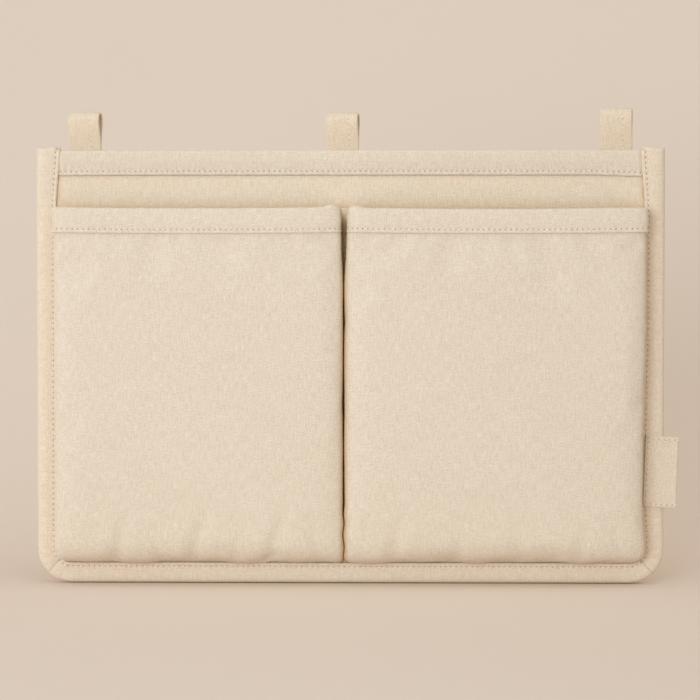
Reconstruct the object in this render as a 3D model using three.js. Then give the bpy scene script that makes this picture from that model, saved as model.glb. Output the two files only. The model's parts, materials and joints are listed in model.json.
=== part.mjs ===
// Hanging bedside caddy: a wadded canvas panel with a folded top hem and bound edges, two padded pockets, three hanging
// loops and one bare side label. Millimetres, +Z up, the front faces -Y. The origin lies on the line that the loops
// hang on, half way across the caddy.
import * as THREE from 'three';

// Cloth and fits
const CANVAS = 1.0; // thickness of the canvas
const CLEARANCE = 0.3; // between layers that lie on each other
const THREAD_WIDTH = 0.8;
const THREAD_RISE = 0.5; // how far a row of stitches stands out

// Panel
const BODY_WIDTH = 400; // across the bindings
const BODY_HEIGHT = 276; // from the bottom edge to the fold of the top hem
const CORNER_RADIUS = 22; // outer radius of the two bottom corners
const PANEL_WADDING = 5.4; // thickness

// Top hem
const HEM_HEIGHT = 15.5;
const HEM_ROUND = 3.5; // radius of its two upper edges
const HEM_SEAM_INSET = 2.2; // from its lower edge to the stitches

// Binding
const BINDING_CANVAS = 1.2; // thickness
const BINDING_WIDTH = 13;
const BINDING_RISE = 1; // its ends stand above the top hem
const BINDING_SEAM_INSET = 2.2; // from its inner edge to the stitches
const MITRE_GAP = 0.3;

// Pockets
const POCKET_DROP = 37; // from the top hem's fold down to the pocket mouths
const POCKET_EDGE_GAP = 0.5; // between a pocket and the binding's inner edge
const POCKET_STANDOFF = 0.4; // between the panel and the sewn edges of a pocket
const CENTRE_X = -3.5; // middle of the gap between the pockets
const CENTRE_GAP = 1.6; // between the two pocket hems
const INNER_CORNER = 4; // radius of a pocket's lower corner at the gap
const MOUTH_DEPTH = 20;
const BELLY_DEPTH = 24;
const FOOT_HEIGHT = 24; // the front swells to its full depth over this height
const FOOT_POWER = 2.5; // roundness of that swell
const SECTION_POWER = 7; // squareness of a pocket's plan
const POCKET_WADDING = 1.5; // thickness
const POCKET_HEM_HEIGHT = 15.5;
const POCKET_HEM_SEAM_INSET = 2.2;
const POCKET_SEAM_START = 0.5; // radians round the plan, where the stitches of a pocket hem begin
const GUSSET_SHARE = 0.4; // the gussets take this share of the depth, the front takes the rest
const STRIP_GAP = 0.4; // between the sewn-down centre strip and the pockets

// Hanging loops
const LOOP_CANVAS = 1.5; // thickness of the strap
const LOOP_WIDTH = 20.5;
const LOOP_HEIGHT = 25; // above the top hem's fold
const LOOP_EYE = 8; // width of the eye at its widest
const LOOP_EYE_FOOT = 1.2; // width of the eye at its foot
const LOOP_EYE_RISE = 5; // from the bend of the strap up to the eye's foot
const LOOP_BEND_RISE = 2; // the strap bends this far above the top hem's fold
const LOOP_EDGE_INSET = 30.4; // from the caddy's side to the middle of an outer loop
const MIDDLE_LOOP_X = -4.7; // middle of the middle loop
const LOOP_TAIL = 14; // length sewn to the back of the hem

// Label
const LABEL_TAPE = 1.2; // thickness of the folded tape
const LABEL_HEIGHT = 45;
const LABEL_BOTTOM = 49.5; // above the bottom edge
const LABEL_SEWN = 3; // width of the sewn end
const LABEL_FLAG = 16.8; // width of the free flag
const LABEL_HINGE_GAP = 0.4; // between the sewn end and the flag

// Smoothness
const CORNER_STEPS = 4;
const FOLD_STEPS = 7;
const EYE_STEPS = 11; // odd, so that the crown of an eye is a flat facet
const PLAN_STEPS = 18;
const RISE_STEPS = 9;

// Layers from the back of the caddy to its front, as values of y
const loopThick = 2 * LOOP_CANVAS + CLEARANCE;
const hemBack = -loopThick / 2 - CLEARANCE;
const backCoverY = hemBack - CANVAS - CLEARANCE;
const waddingY = backCoverY - CANVAS - CLEARANCE;
const frontCoverY = waddingY - PANEL_WADDING - CLEARANCE;
const panelFront = frontCoverY - CANVAS;
const hemFront = panelFront - CLEARANCE - CANVAS;
const bindingBack = backCoverY + CLEARANCE + BINDING_CANVAS;
const bindingFront = panelFront - CLEARANCE - BINDING_CANVAS;
const bindingRound = (bindingBack - bindingFront) / 2;
const pocketPlane = panelFront - POCKET_STANDOFF;

// Places that several pieces share
const side = BODY_WIDTH / 2;
const bindingInner = side - BINDING_WIDTH;
const panelTop = BODY_HEIGHT - HEM_ROUND - CLEARANCE;
const pocketBase = BINDING_WIDTH + POCKET_EDGE_GAP;
const pocketTop = BODY_HEIGHT - POCKET_DROP;
const bendHeight = BODY_HEIGHT + LOOP_BEND_RISE;

const canvasLook = { color: 0xe6d5bc, roughness: 0.92, metalness: 0 };
const canvas = new THREE.MeshStandardMaterial(canvasLook);
const binding = new THREE.MeshStandardMaterial({ ...canvasLook, color: 0xe3d0b4 });
const lining = new THREE.MeshStandardMaterial({ ...canvasLook, color: 0xe9dcc8 });
const strap = new THREE.MeshStandardMaterial({ ...canvasLook, color: 0xe6d3b8 });
const tape = new THREE.MeshStandardMaterial({ ...canvasLook, color: 0xe0cfb6, roughness: 0.8 });
const wadding = new THREE.MeshStandardMaterial({ ...canvasLook, color: 0xf4efe6, roughness: 1 });
const thread = new THREE.MeshStandardMaterial({ ...canvasLook, color: 0xefe2cb, roughness: 0.7 });

const caddy = new THREE.Group();

function addPiece(name, geometry, material, x = 0, y = 0, z = 0) {
  const piece = new THREE.Mesh(geometry, material);
  piece.name = name;
  piece.position.set(x, y, z);
  caddy.add(piece);
}

function arc(x, y, radius, from, to, steps) {
  const points = [];
  for (let k = 0; k <= steps; k++) {
    const angle = from + ((to - from) * k) / steps;
    points.push(new THREE.Vector2(x + radius * Math.cos(angle), y + radius * Math.sin(angle)));
  }
  return points;
}

// An outline in the plane of x and z, made solid towards the front.
function plate(outline, thickness) {
  const solid = new THREE.ExtrudeGeometry(new THREE.Shape(outline), { depth: thickness, bevelEnabled: false });
  const axes = new THREE.Matrix4().makeBasis(
    new THREE.Vector3(1, 0, 0),
    new THREE.Vector3(0, 0, 1),
    new THREE.Vector3(0, -1, 0),
  );
  return solid.applyMatrix4(axes);
}

// An outline in the plane of y and z, made solid along x and centred on it.
function bar(shape, length) {
  const solid = new THREE.ExtrudeGeometry(shape, { depth: length, bevelEnabled: false });
  solid.translate(0, 0, -length / 2);
  const axes = new THREE.Matrix4().makeBasis(
    new THREE.Vector3(0, 1, 0),
    new THREE.Vector3(0, 0, 1),
    new THREE.Vector3(1, 0, 0),
  );
  return solid.applyMatrix4(axes);
}

// A closed sheet of cloth from its sections in order. A section is a row of points on the outer side and as many, each
// facing one of those, on the inner side.
function sheet(sections) {
  const rings = sections.map(({ outer, inner }) => [...outer, ...inner.toReversed()]);
  const count = rings[0].length;
  const positions = rings.flat().flatMap((point) => point.toArray());
  const faces = [];
  const quad = (a, b, c, d) => faces.push([a, b, c], [a, c, d]);
  for (let s = 0; s + 1 < rings.length; s++) {
    for (let i = 0; i < count; i++) {
      const j = (i + 1) % count;
      quad(s * count + i, s * count + j, (s + 1) * count + j, (s + 1) * count + i);
    }
  }
  const last = (rings.length - 1) * count;
  for (let i = 0; i + 1 < count / 2; i++) {
    const facing = count - 1 - i;
    quad(i, facing, facing - 1, i + 1);
    quad(last + i, last + i + 1, last + facing - 1, last + facing);
  }
  const point = (i) => new THREE.Vector3().fromArray(positions, 3 * i);
  const volume = faces.reduce((sum, [a, b, c]) => sum + point(a).dot(point(b).cross(point(c))), 0);
  const outward = volume > 0 ? faces : faces.map(([a, b, c]) => [a, c, b]);
  const solid = new THREE.BufferGeometry();
  solid.setAttribute('position', new THREE.Float32BufferAttribute(positions, 3));
  solid.setIndex(outward.flat());
  solid.computeVertexNormals();
  return solid;
}

// Panel: two covers with wadding between them, all with the bottom corners of the bound edge.
function panelOutline(inset) {
  const radius = CORNER_RADIUS - inset;
  const centre = side - CORNER_RADIUS;
  return [
    ...arc(-centre, CORNER_RADIUS, radius, Math.PI, 1.5 * Math.PI, CORNER_STEPS),
    ...arc(centre, CORNER_RADIUS, radius, 1.5 * Math.PI, 2 * Math.PI, CORNER_STEPS),
    new THREE.Vector2(side - inset, panelTop),
    new THREE.Vector2(inset - side, panelTop),
  ];
}

function addPanel() {
  const coverInset = bindingRound + CLEARANCE;
  const channel = bindingRound - BINDING_CANVAS - CLEARANCE;
  const waddingInset = bindingRound - Math.sqrt(channel ** 2 - (PANEL_WADDING / 2) ** 2);
  addPiece('back_cover', plate(panelOutline(coverInset), CANVAS), canvas, 0, backCoverY);
  addPiece('panel_wadding', plate(panelOutline(waddingInset), PANEL_WADDING), wadding, 0, waddingY);
  addPiece('front_cover', plate(panelOutline(coverInset), CANVAS), canvas, 0, frontCoverY);
}

// Top hem: a band folded over the panel's upper edge, between the ends of the bindings.
function addTopHem() {
  const bottom = BODY_HEIGHT - HEM_HEIGHT;
  const roundHeight = BODY_HEIGHT - HEM_ROUND;
  const fold = (radius) => [
    ...arc(hemBack - HEM_ROUND, roundHeight, radius, 0, Math.PI / 2, CORNER_STEPS),
    ...arc(hemFront + HEM_ROUND, roundHeight, radius, Math.PI / 2, Math.PI, CORNER_STEPS),
  ];
  const section = new THREE.Shape([
    new THREE.Vector2(hemBack, bottom),
    ...fold(HEM_ROUND),
    new THREE.Vector2(hemFront, bottom),
    new THREE.Vector2(hemFront + CANVAS, bottom),
    ...fold(HEM_ROUND - CANVAS).toReversed(),
    new THREE.Vector2(hemBack - CANVAS, bottom),
  ]);
  const length = 2 * (bindingInner - CLEARANCE);
  addPiece('top_hem', bar(section, length), canvas);
  const row = new THREE.BoxGeometry(length - 2 * HEM_SEAM_INSET, THREAD_RISE, THREAD_WIDTH);
  const rowY = hemFront - CLEARANCE - THREAD_RISE / 2;
  addPiece('top_hem_thread', row, thread, 0, rowY, bottom + HEM_SEAM_INSET);
}

// The bound edge: the point at a distance in from the edge, on a side or at an angle round a bottom corner. The left
// half is worked out, and hand is -1 there and 1 on the right.
const sidePoint = (hand, height) => (inset) => [hand * (side - inset), height];
const cornerPoint = (hand, turn) => (inset) => {
  const radius = CORNER_RADIUS - inset;
  const angle = turn(radius);
  const across = side - CORNER_RADIUS + radius * Math.cos(angle);
  return [hand * across, CORNER_RADIUS - radius * Math.sin(angle)];
};

// Stations round half a corner, up to the mitre, from the side strip or from the bottom strip.
const mitreTurn = (radius) => Math.PI / 4 - Math.asin(MITRE_GAP / 2 / radius);
const shares = Array.from({ length: CORNER_STEPS + 1 }, (_, k) => k / CORNER_STEPS);
const fromSide = (hand) => shares.map((share) => cornerPoint(hand, (radius) => share * mitreTurn(radius)));
const fromBottom = (hand) =>
  shares.map((share) => cornerPoint(hand, (radius) => Math.PI / 2 - share * mitreTurn(radius)));
const wholeCorner = (hand) => shares.map((share) => cornerPoint(hand, () => (share * Math.PI) / 2));

function alongEdge(stations, outer, inner) {
  const place = (station) => (point) => {
    const [x, z] = station(point.x);
    return new THREE.Vector3(x, point.y, z);
  };
  return sheet(
    stations.map((station) => ({ outer: outer.map(place(station)), inner: inner.map(place(station)) })),
  );
}

// Binding: three strips folded round the panel's edge, mitred at the bottom corners, and the rows of stitches that hold
// them. The section's x runs in from the edge.
function addBinding() {
  const middle = (bindingBack + bindingFront) / 2;
  const folded = (radius) => [
    new THREE.Vector2(BINDING_WIDTH, middle + radius),
    ...arc(bindingRound, middle, radius, Math.PI / 2, 1.5 * Math.PI, FOLD_STEPS),
    new THREE.Vector2(BINDING_WIDTH, middle - radius),
  ];
  const outer = folded(bindingRound);
  const inner = folded(bindingRound - BINDING_CANVAS);
  const top = BODY_HEIGHT + BINDING_RISE;
  const sideStrip = (hand) => [sidePoint(hand, top), ...fromSide(hand)];
  const bottomStrip = [...fromBottom(-1).toReversed(), ...fromBottom(1)];
  addPiece('binding_left', alongEdge(sideStrip(-1), outer, inner), binding);
  addPiece('binding_bottom', alongEdge(bottomStrip, outer, inner), binding);
  addPiece('binding_right', alongEdge(sideStrip(1), outer, inner), binding);

  const seamY = bindingFront - CLEARANCE;
  const seamInset = BINDING_WIDTH - BINDING_SEAM_INSET;
  const seam = (y) => [
    new THREE.Vector2(seamInset - THREAD_WIDTH / 2, y),
    new THREE.Vector2(seamInset + THREAD_WIDTH / 2, y),
  ];
  const seamTop = top - BINDING_SEAM_INSET;
  const lower = [
    sidePoint(-1, seamTop),
    ...wholeCorner(-1),
    ...wholeCorner(1).toReversed(),
    sidePoint(1, LABEL_BOTTOM - CLEARANCE),
  ];
  const upper = [sidePoint(1, LABEL_BOTTOM + LABEL_HEIGHT + CLEARANCE), sidePoint(1, seamTop)];
  const row = (stations) => alongEdge(stations, seam(seamY - THREAD_RISE), seam(seamY));
  addPiece('binding_thread_lower', row(lower), thread);
  addPiece('binding_thread_upper', row(upper), thread);
}

// Pockets. Each is a wide U in plan, as deep as its mouth at the top and deepest at its belly, which rounds in to the
// seam at its foot. inset counts inwards from the outer face of the front cloth.
const hemStack = CLEARANCE + CANVAS;
const frontGap = CENTRE_GAP + 2 * hemStack;
const outerCorner = CORNER_RADIUS - BINDING_WIDTH - POCKET_EDGE_GAP;
const pocketEdge = bindingInner - POCKET_EDGE_GAP;
const pockets = [
  {
    name: 'left',
    left: -pocketEdge,
    right: CENTRE_X - frontGap / 2,
    corners: [outerCorner, INNER_CORNER],
    walls: ['outer', 'inner'],
  },
  {
    name: 'right',
    left: CENTRE_X + frontGap / 2,
    right: pocketEdge,
    corners: [INNER_CORNER, outerCorner],
    walls: ['inner', 'outer'],
  },
];
const clothInset = CANVAS;
const paddingInset = clothInset + CLEARANCE;
const liningInset = paddingInset + POCKET_WADDING + CLEARANCE;
const innerFace = liningInset + CANVAS;
const hemRound = innerFace / 2 + hemStack;
const layerTop = pocketTop - hemRound;

const cornerCut = (height, radius) =>
  height < radius ? radius - Math.sqrt(radius ** 2 - (radius - height) ** 2) : 0;
const signedPower = (value, power) => Math.sign(value) * Math.abs(value) ** power;

function pocketPlan(pocket, height, inset) {
  const base = pocketBase + Math.max(inset, 0);
  const above = height - base;
  const left = pocket.left + inset + cornerCut(above, pocket.corners[0]);
  const right = pocket.right - inset - cornerCut(above, pocket.corners[1]);
  const belly = Math.sin((Math.PI * (height - pocketBase)) / (pocketTop - pocketBase));
  const foot = Math.max(1 - above / FOOT_HEIGHT, 0);
  const swell = (1 - foot ** FOOT_POWER) ** (1 / FOOT_POWER);
  const depth = swell * (MOUTH_DEPTH + (BELLY_DEPTH - MOUTH_DEPTH) * belly - inset);
  return { middle: (left + right) / 2, half: (right - left) / 2, depth };
}

function frontPoint(pocket, angle, height, inset) {
  const { middle, half, depth } = pocketPlan(pocket, height, inset);
  const x = middle + half * signedPower(Math.cos(angle), 2 / SECTION_POWER);
  const y = pocketPlane - depth * Math.sin(angle) ** (2 / SECTION_POWER);
  return new THREE.Vector3(x, y, height);
}

// Where the front starts on its way round the plan: at the gussets' share of the depth.
const frontStart = Math.asin(GUSSET_SHARE ** (SECTION_POWER / 2));
const anglesFrom = (start) =>
  Array.from({ length: PLAN_STEPS + 1 }, (_, k) => start + ((Math.PI - 2 * start) * k) / PLAN_STEPS);

// Heights from a start to the layers' top, closest together at the foot.
const heightsFrom = (start) =>
  Array.from({ length: RISE_STEPS + 1 }, (_, k) => start + (layerTop - start) * (k / RISE_STEPS) ** 2);

function frontLayer(pocket, outerInset, innerInset) {
  const rows = (angle, inset) =>
    heightsFrom(pocketBase + inset).map((height) => frontPoint(pocket, angle, height, inset));
  const angles = anglesFrom(frontStart);
  return sheet(angles.map((angle) => ({ outer: rows(angle, outerInset), inner: rows(angle, innerInset) })));
}

// A band round the front, from points that hold the inset and the height of each place in its section.
function frontBand(pocket, start, outer, inner) {
  const place = (angle) => (point) => frontPoint(pocket, angle, point.y, point.x);
  const angles = anglesFrom(start);
  return sheet(angles.map((angle) => ({ outer: outer.map(place(angle)), inner: inner.map(place(angle)) })));
}

function pocketHem(pocket) {
  const folded = (radius) => [
    new THREE.Vector2(innerFace / 2 - radius, pocketTop - POCKET_HEM_HEIGHT),
    ...arc(innerFace / 2, layerTop, radius, Math.PI, 0, FOLD_STEPS),
    new THREE.Vector2(innerFace / 2 + radius, pocketTop - POCKET_HEM_HEIGHT),
  ];
  return frontBand(pocket, frontStart, folded(hemRound), folded(hemRound - CANVAS));
}

function pocketHemThread(pocket) {
  const height = pocketTop - POCKET_HEM_HEIGHT + POCKET_HEM_SEAM_INSET;
  const face = innerFace / 2 - hemRound - CLEARANCE;
  const row = (inset) => [
    new THREE.Vector2(inset, height - THREAD_WIDTH / 2),
    new THREE.Vector2(inset, height + THREAD_WIDTH / 2),
  ];
  return frontBand(pocket, POCKET_SEAM_START, row(face - THREAD_RISE), row(face));
}

// A gusset: the short wall between the panel and the edge of the front, on the left (-1) or right (1) of a pocket.
function gusset(pocket, hand) {
  const point = (share, height, inset) => {
    const { middle, half, depth } = pocketPlan(pocket, height, 0);
    const reach = share * (GUSSET_SHARE * (depth - CANVAS) - CLEARANCE);
    const width = half * (1 - (reach / depth) ** SECTION_POWER) ** (1 / SECTION_POWER);
    return new THREE.Vector3(middle + hand * (width - inset), pocketPlane - reach, height);
  };
  const heights = heightsFrom(pocketBase).filter((height) => height > pocketBase + outerCorner);
  const row = (share, inset) => heights.map((height) => point(share, height, inset));
  return sheet([0, 0.5, 1].map((share) => ({ outer: row(share, 0), inner: row(share, CANVAS) })));
}

function addPockets() {
  for (const pocket of pockets) {
    const name = (piece) => `${pocket.name}_pocket_${piece}`;
    const [leftWall, rightWall] = pocket.walls;
    addPiece(name('front'), frontLayer(pocket, 0, clothInset), canvas);
    addPiece(name('wadding'), frontLayer(pocket, paddingInset, paddingInset + POCKET_WADDING), wadding);
    addPiece(name('lining'), frontLayer(pocket, liningInset, innerFace), lining);
    addPiece(name('hem'), pocketHem(pocket), canvas);
    addPiece(name('hem_thread'), pocketHemThread(pocket), thread);
    addPiece(name(`${leftWall}_gusset`), gusset(pocket, -1), canvas);
    addPiece(name(`${rightWall}_gusset`), gusset(pocket, 1), canvas);
  }
}

// The strip of pocket cloth that is sewn down to the panel between the pockets.
function addCentreStrip() {
  const height = pocketTop - pocketBase;
  const middle = pocketBase + height / 2;
  const strip = new THREE.BoxGeometry(frontGap - 2 * STRIP_GAP, CANVAS, height);
  const stripY = panelFront - CLEARANCE - CANVAS / 2;
  addPiece('centre_strip', strip, canvas, CENTRE_X, stripY, middle);
  const row = new THREE.BoxGeometry(THREAD_WIDTH, THREAD_RISE, height - 2 * HEM_SEAM_INSET);
  const rowY = stripY - CANVAS / 2 - CLEARANCE - THREAD_RISE / 2;
  addPiece('centre_seam_thread', row, thread, CENTRE_X, rowY, middle);
}

// Hanging loops: a strap folded into an eye above its bend, and its two ends sewn to the back of the hem as one tail.
const eyeRound = LOOP_EYE / 2;
const eyeHeight = LOOP_HEIGHT - LOOP_BEND_RISE - LOOP_CANVAS - eyeRound; // above the bend

// A drop shape round two circles on the line up from the bend.
function drop(lowHeight, lowRadius, highRadius) {
  const lean = Math.asin((highRadius - lowRadius) / (eyeHeight - lowHeight));
  return {
    lean,
    points: [
      ...arc(0, lowHeight, lowRadius, Math.PI + lean, 2 * Math.PI - lean, FOLD_STEPS),
      ...arc(0, eyeHeight, highRadius, -lean, Math.PI + lean, EYE_STEPS),
    ],
  };
}

const eye = drop(LOOP_EYE_RISE, LOOP_EYE_FOOT / 2, eyeRound);
const eyeFacet = (Math.PI + 2 * eye.lean) / EYE_STEPS;
const hangHeight = bendHeight + eyeHeight + eyeRound * Math.cos(eyeFacet / 2);

function addLoops() {
  const folded = drop(0, loopThick / 2, eyeRound + LOOP_CANVAS);
  const outline = new THREE.Shape(folded.points);
  outline.holes.push(new THREE.Path(eye.points));
  const outerX = side - LOOP_EDGE_INSET;
  const places = { left: -outerX, middle: MIDDLE_LOOP_X, right: outerX };
  // A loop that is swung back level passes the tail's upper edge with its leaning side, this far below the bend.
  const leaningSide = (loopThick / 2) * (1 / Math.cos(folded.lean) + Math.tan(folded.lean));
  const tailTop = bendHeight - leaningSide - CLEARANCE;
  const tailMiddle = tailTop - LOOP_TAIL / 2;
  for (const [name, x] of Object.entries(places)) {
    addPiece(`${name}_loop`, bar(outline, LOOP_WIDTH), strap, x, 0, bendHeight);
    const tail = new THREE.BoxGeometry(LOOP_WIDTH, loopThick, LOOP_TAIL);
    addPiece(`${name}_loop_tail`, tail, strap, x, 0, tailMiddle);
    const row = new THREE.BoxGeometry(LOOP_WIDTH - 2 * HEM_SEAM_INSET, THREAD_RISE, THREAD_WIDTH);
    const rowY = loopThick / 2 + CLEARANCE + THREAD_RISE / 2;
    addPiece(`${name}_loop_thread`, row, thread, x, rowY, tailMiddle);
  }
}

// Label: a folded tape on the right binding. Its sewn end lies over the binding's stitches, and its flag is free.
function addLabel() {
  const back = bindingFront - CLEARANCE;
  const middle = LABEL_BOTTOM + LABEL_HEIGHT / 2;
  const sewnLeft = bindingInner + BINDING_SEAM_INSET - LABEL_SEWN / 2;
  const tapeY = back - LABEL_TAPE / 2;
  const sewnEnd = new THREE.BoxGeometry(LABEL_SEWN, LABEL_TAPE, LABEL_HEIGHT);
  addPiece('label_sewn_end', sewnEnd, tape, sewnLeft + LABEL_SEWN / 2, tapeY, middle);
  const row = new THREE.BoxGeometry(THREAD_WIDTH, THREAD_RISE, LABEL_HEIGHT);
  const rowY = back - LABEL_TAPE - CLEARANCE - THREAD_RISE / 2;
  addPiece('label_thread', row, thread, bindingInner + BINDING_SEAM_INSET, rowY, middle);
  const foldRound = LABEL_TAPE / 2;
  const section = new THREE.Shape([
    new THREE.Vector2(0, foldRound),
    new THREE.Vector2(0, -foldRound),
    ...arc(LABEL_FLAG - foldRound, 0, foldRound, -Math.PI / 2, Math.PI / 2, CORNER_STEPS),
  ]);
  const flag = new THREE.ExtrudeGeometry(section, { depth: LABEL_HEIGHT, bevelEnabled: false });
  const flagLeft = sewnLeft + LABEL_SEWN + LABEL_HINGE_GAP;
  addPiece('label_flag', flag, tape, flagLeft, tapeY, LABEL_BOTTOM);
}

addPanel();
addTopHem();
addBinding();
addPockets();
addCentreStrip();
addLoops();
addLabel();

// The pieces are placed up from the bottom edge, and the finished caddy hangs from the origin.
const part = new THREE.Group();
caddy.position.z = -hangHeight;
part.add(caddy);

export default part;
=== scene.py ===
"""Looks of a hanging bedside caddy: canvas, wadding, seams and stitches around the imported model.

Laid out as an add-on and run as a script. Metres, +Z up, the front faces -Y.
"""

import json
import math

import bpy
import numpy as np
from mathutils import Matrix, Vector


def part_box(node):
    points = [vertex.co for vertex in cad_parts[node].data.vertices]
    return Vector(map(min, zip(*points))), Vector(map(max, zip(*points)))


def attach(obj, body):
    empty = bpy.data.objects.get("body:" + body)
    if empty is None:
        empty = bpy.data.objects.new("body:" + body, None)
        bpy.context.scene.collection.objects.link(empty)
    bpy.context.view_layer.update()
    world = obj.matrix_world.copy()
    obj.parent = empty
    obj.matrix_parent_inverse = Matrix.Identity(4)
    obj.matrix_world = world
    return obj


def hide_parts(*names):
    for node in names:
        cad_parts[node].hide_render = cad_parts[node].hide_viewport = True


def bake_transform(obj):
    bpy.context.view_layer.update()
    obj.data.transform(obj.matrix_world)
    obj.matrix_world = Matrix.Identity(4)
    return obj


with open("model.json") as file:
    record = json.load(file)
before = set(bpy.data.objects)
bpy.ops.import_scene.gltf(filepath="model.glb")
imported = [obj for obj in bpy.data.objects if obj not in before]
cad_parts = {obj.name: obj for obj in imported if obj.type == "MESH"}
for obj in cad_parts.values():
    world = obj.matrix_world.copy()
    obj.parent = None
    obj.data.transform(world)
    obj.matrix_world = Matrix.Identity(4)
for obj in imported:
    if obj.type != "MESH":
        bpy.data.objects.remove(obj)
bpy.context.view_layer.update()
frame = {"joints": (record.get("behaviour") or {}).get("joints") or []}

bl_info = {
    "name": "Bedside caddy",
    "version": (1, 0, 0),
    "blender": (4, 5, 0),
    "location": "View3D > Sidebar > Caddy",
    "description": "Builds the canvas, seams and stitches of a hanging bedside caddy around its frame",
    "category": "Add Mesh",
}

MM = 0.001
FRONT = np.array((0.0, -1.0, 0.0))
BACK = -FRONT


# Places that the frame gives
def corners(node):
    low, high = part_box(node)
    return np.array(low), np.array(high)


def joint_place(name):
    return next(joint for joint in frame["joints"] if joint["name"] == name)["pos_m"]


SIDE = corners("binding_right")[1][0]
BOTTOM = corners("binding_bottom")[0][2]
BINDING_TOP = corners("binding_left")[1][2]
BINDING_FRONT = corners("binding_left")[0][1]
BINDING_BACK = corners("binding_left")[1][1]
HEM_LOW, HEM_HIGH = corners("top_hem")
COVER_LOW, COVER_HIGH = corners("front_cover")
BACK_LOW, BACK_HIGH = corners("back_cover")
PAD_LOW, PAD_HIGH = corners("panel_wadding")
STRIP_LOW, STRIP_HIGH = corners("centre_strip")
POCKET_BASE = corners("left_pocket_front")[0][2]
LAYER_TOP = corners("left_pocket_front")[1][2]
POCKET_TOP = corners("left_pocket_hem")[1][2]
POCKET_HEM_LOW = corners("left_pocket_hem")[0][2]
POCKET_PLANE = corners("left_pocket_outer_gusset")[1][1]
LABEL_LOW, LABEL_HIGH = corners("label_flag")
LABEL_SEWN = corners("label_sewn_end")[0][0]
LOOP_BEND = joint_place("left_loop_swing")[2]
LOOP_TOP = corners("left_loop")[1][2]
LOOP_TAIL_LOW = corners("left_loop_tail")[0][2]
CENTRE_X = (STRIP_LOW[0] + STRIP_HIGH[0]) / 2


# Kinds of settings
def length(name, words, default):
    return bpy.props.FloatProperty(name=name, description=words, default=default, unit="LENGTH", precision=5)


def share(name, words, default):
    return bpy.props.FloatProperty(name=name, description=words, default=default, subtype="FACTOR")


def turn(name, words, default):
    angle = math.radians(default)
    return bpy.props.FloatProperty(name=name, description=words, default=angle, unit="ROTATION")


def power(name, words, default):
    return bpy.props.FloatProperty(name=name, description=words, default=default, unit="POWER")


def number(name, words, default):
    return bpy.props.FloatProperty(name=name, description=words, default=default)


def colour(name, words, default):
    return bpy.props.FloatVectorProperty(
        name=name, description=words, default=default, subtype="COLOR", size=3, min=0, max=1
    )


class CaddySizes(bpy.types.PropertyGroup):
    """Sizes of the cloth pieces"""

    canvas: length("Canvas", "Thickness of the canvas", 0.001)
    binding_canvas: length("Binding canvas", "Thickness of the binding strips", 0.0012)
    strap: length("Strap", "Thickness of the loops' strap", 0.0015)
    tape: length("Tape", "Thickness of one layer of the label's tape", 0.0005)
    corner_radius: length("Corner", "Outer radius of the two bottom corners", 0.022)
    binding_width: length("Binding width", "From the caddy's edge to the binding's inner edge", 0.013)
    blunt: number("Blunt", "How square a fold is: 2 is round, more is squarer", 3.2)
    pocket_blunt: number("Pocket blunt", "How square a pocket is seen from above", 11.0)
    binding_flare: length("Binding flare", "How much wider the bindings are at their top ends", 0.0024)
    binding_drift: length("Binding drift", "How much wider the right binding is beside the label", 0.0015)
    binding_slope: length("Binding slope", "How much higher a top end is at its inner corner", 0.0014)
    hem_round: length("Hem round", "Radius of the top hem's two upper edges", 0.0020)
    hem_tuck_in: length("Hem tuck in", "How far the top hem's ends run in under the side bindings", 0.002)
    mouth_depth: length("Mouth depth", "How far a pocket stands out at its mouth", 0.020)
    belly_depth: length("Belly depth", "How far a pocket would stand out at half height", 0.024)
    foot_height: length("Foot height", "Height over which a pocket swells out from its bottom seam", 0.024)
    inner_corner: length("Inner corner", "Radius of a pocket's lower corner at the gap", 0.004)
    lining_inset: length("Lining inset", "From a pocket's outer face to the middle of its lining", 0.0036)
    wadding_inset: length("Wadding inset", "From a pocket's outer face to the middle of its wadding", 0.00205)
    pocket_wadding: length("Pocket wadding", "Thickness of a pocket's wadding", 0.0015)
    mouth_sag: length("Mouth sag", "How far the middle of a pocket mouth hangs below its ends", 0.0009)
    mouth_bump: length("Mouth bump", "Height of the thick hem corner beside the gap", 0.0015)
    mouth_lift: length("Mouth lift", "How far the left pocket's mouth stands above the frame's", 0.0008)
    hem_tuck: length("Hem tuck", "How far a pocket hem draws in from the gap", 0.0010)
    gap_swell: length("Gap swell", "How far a pocket's side swells into the gap below its hem", 0.0021)
    gap_drift: length("Gap drift", "How far the gap below the hems lies to the left of its middle", 0.0002)
    strip_fold: length("Strip fold", "How far the cloth between the pockets comes forward at the top", 0.012)
    loop_twist: turn("Loop twist", "How far the eye of a loop is turned to show its right edge", 8.0)
    label_tilt: turn("Label tilt", "How far the label is turned clockwise on its sewn end", 2.2)
    label_lap: length("Label lap", "How far the label's sewn end covers the binding's stitches", 0.0006)
    label_curl: length("Label curl", "How far the label's free end stands forward", 0.0010)


class CaddySewing(bpy.types.PropertyGroup):
    """Sizes of the seams"""

    pitch: length("Pitch", "From one stitch to the next", 0.0034)
    stitch: length("Stitch", "Length of one stitch on the face of the cloth", 0.0023)
    thread: length("Thread", "Thickness of the thread", 0.0009)
    inset: length("Inset", "From a folded edge to its row of stitches", 0.0022)
    draw: length("Draw", "How deep a row of stitches draws the cloth in", 0.00055)
    ridge: length("Ridge", "How far the folded edge stands out beyond its stitches", 0.00055)
    curl: length("Curl", "How far the very edge of a fold turns back in", 0.0005)
    puff: length("Puff", "How far the cloth swells between two rows of stitches", 0.0005)
    unevenness: number("Unevenness", "Largest turn of a stitch out of its row, in radians", 0.07)


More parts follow.
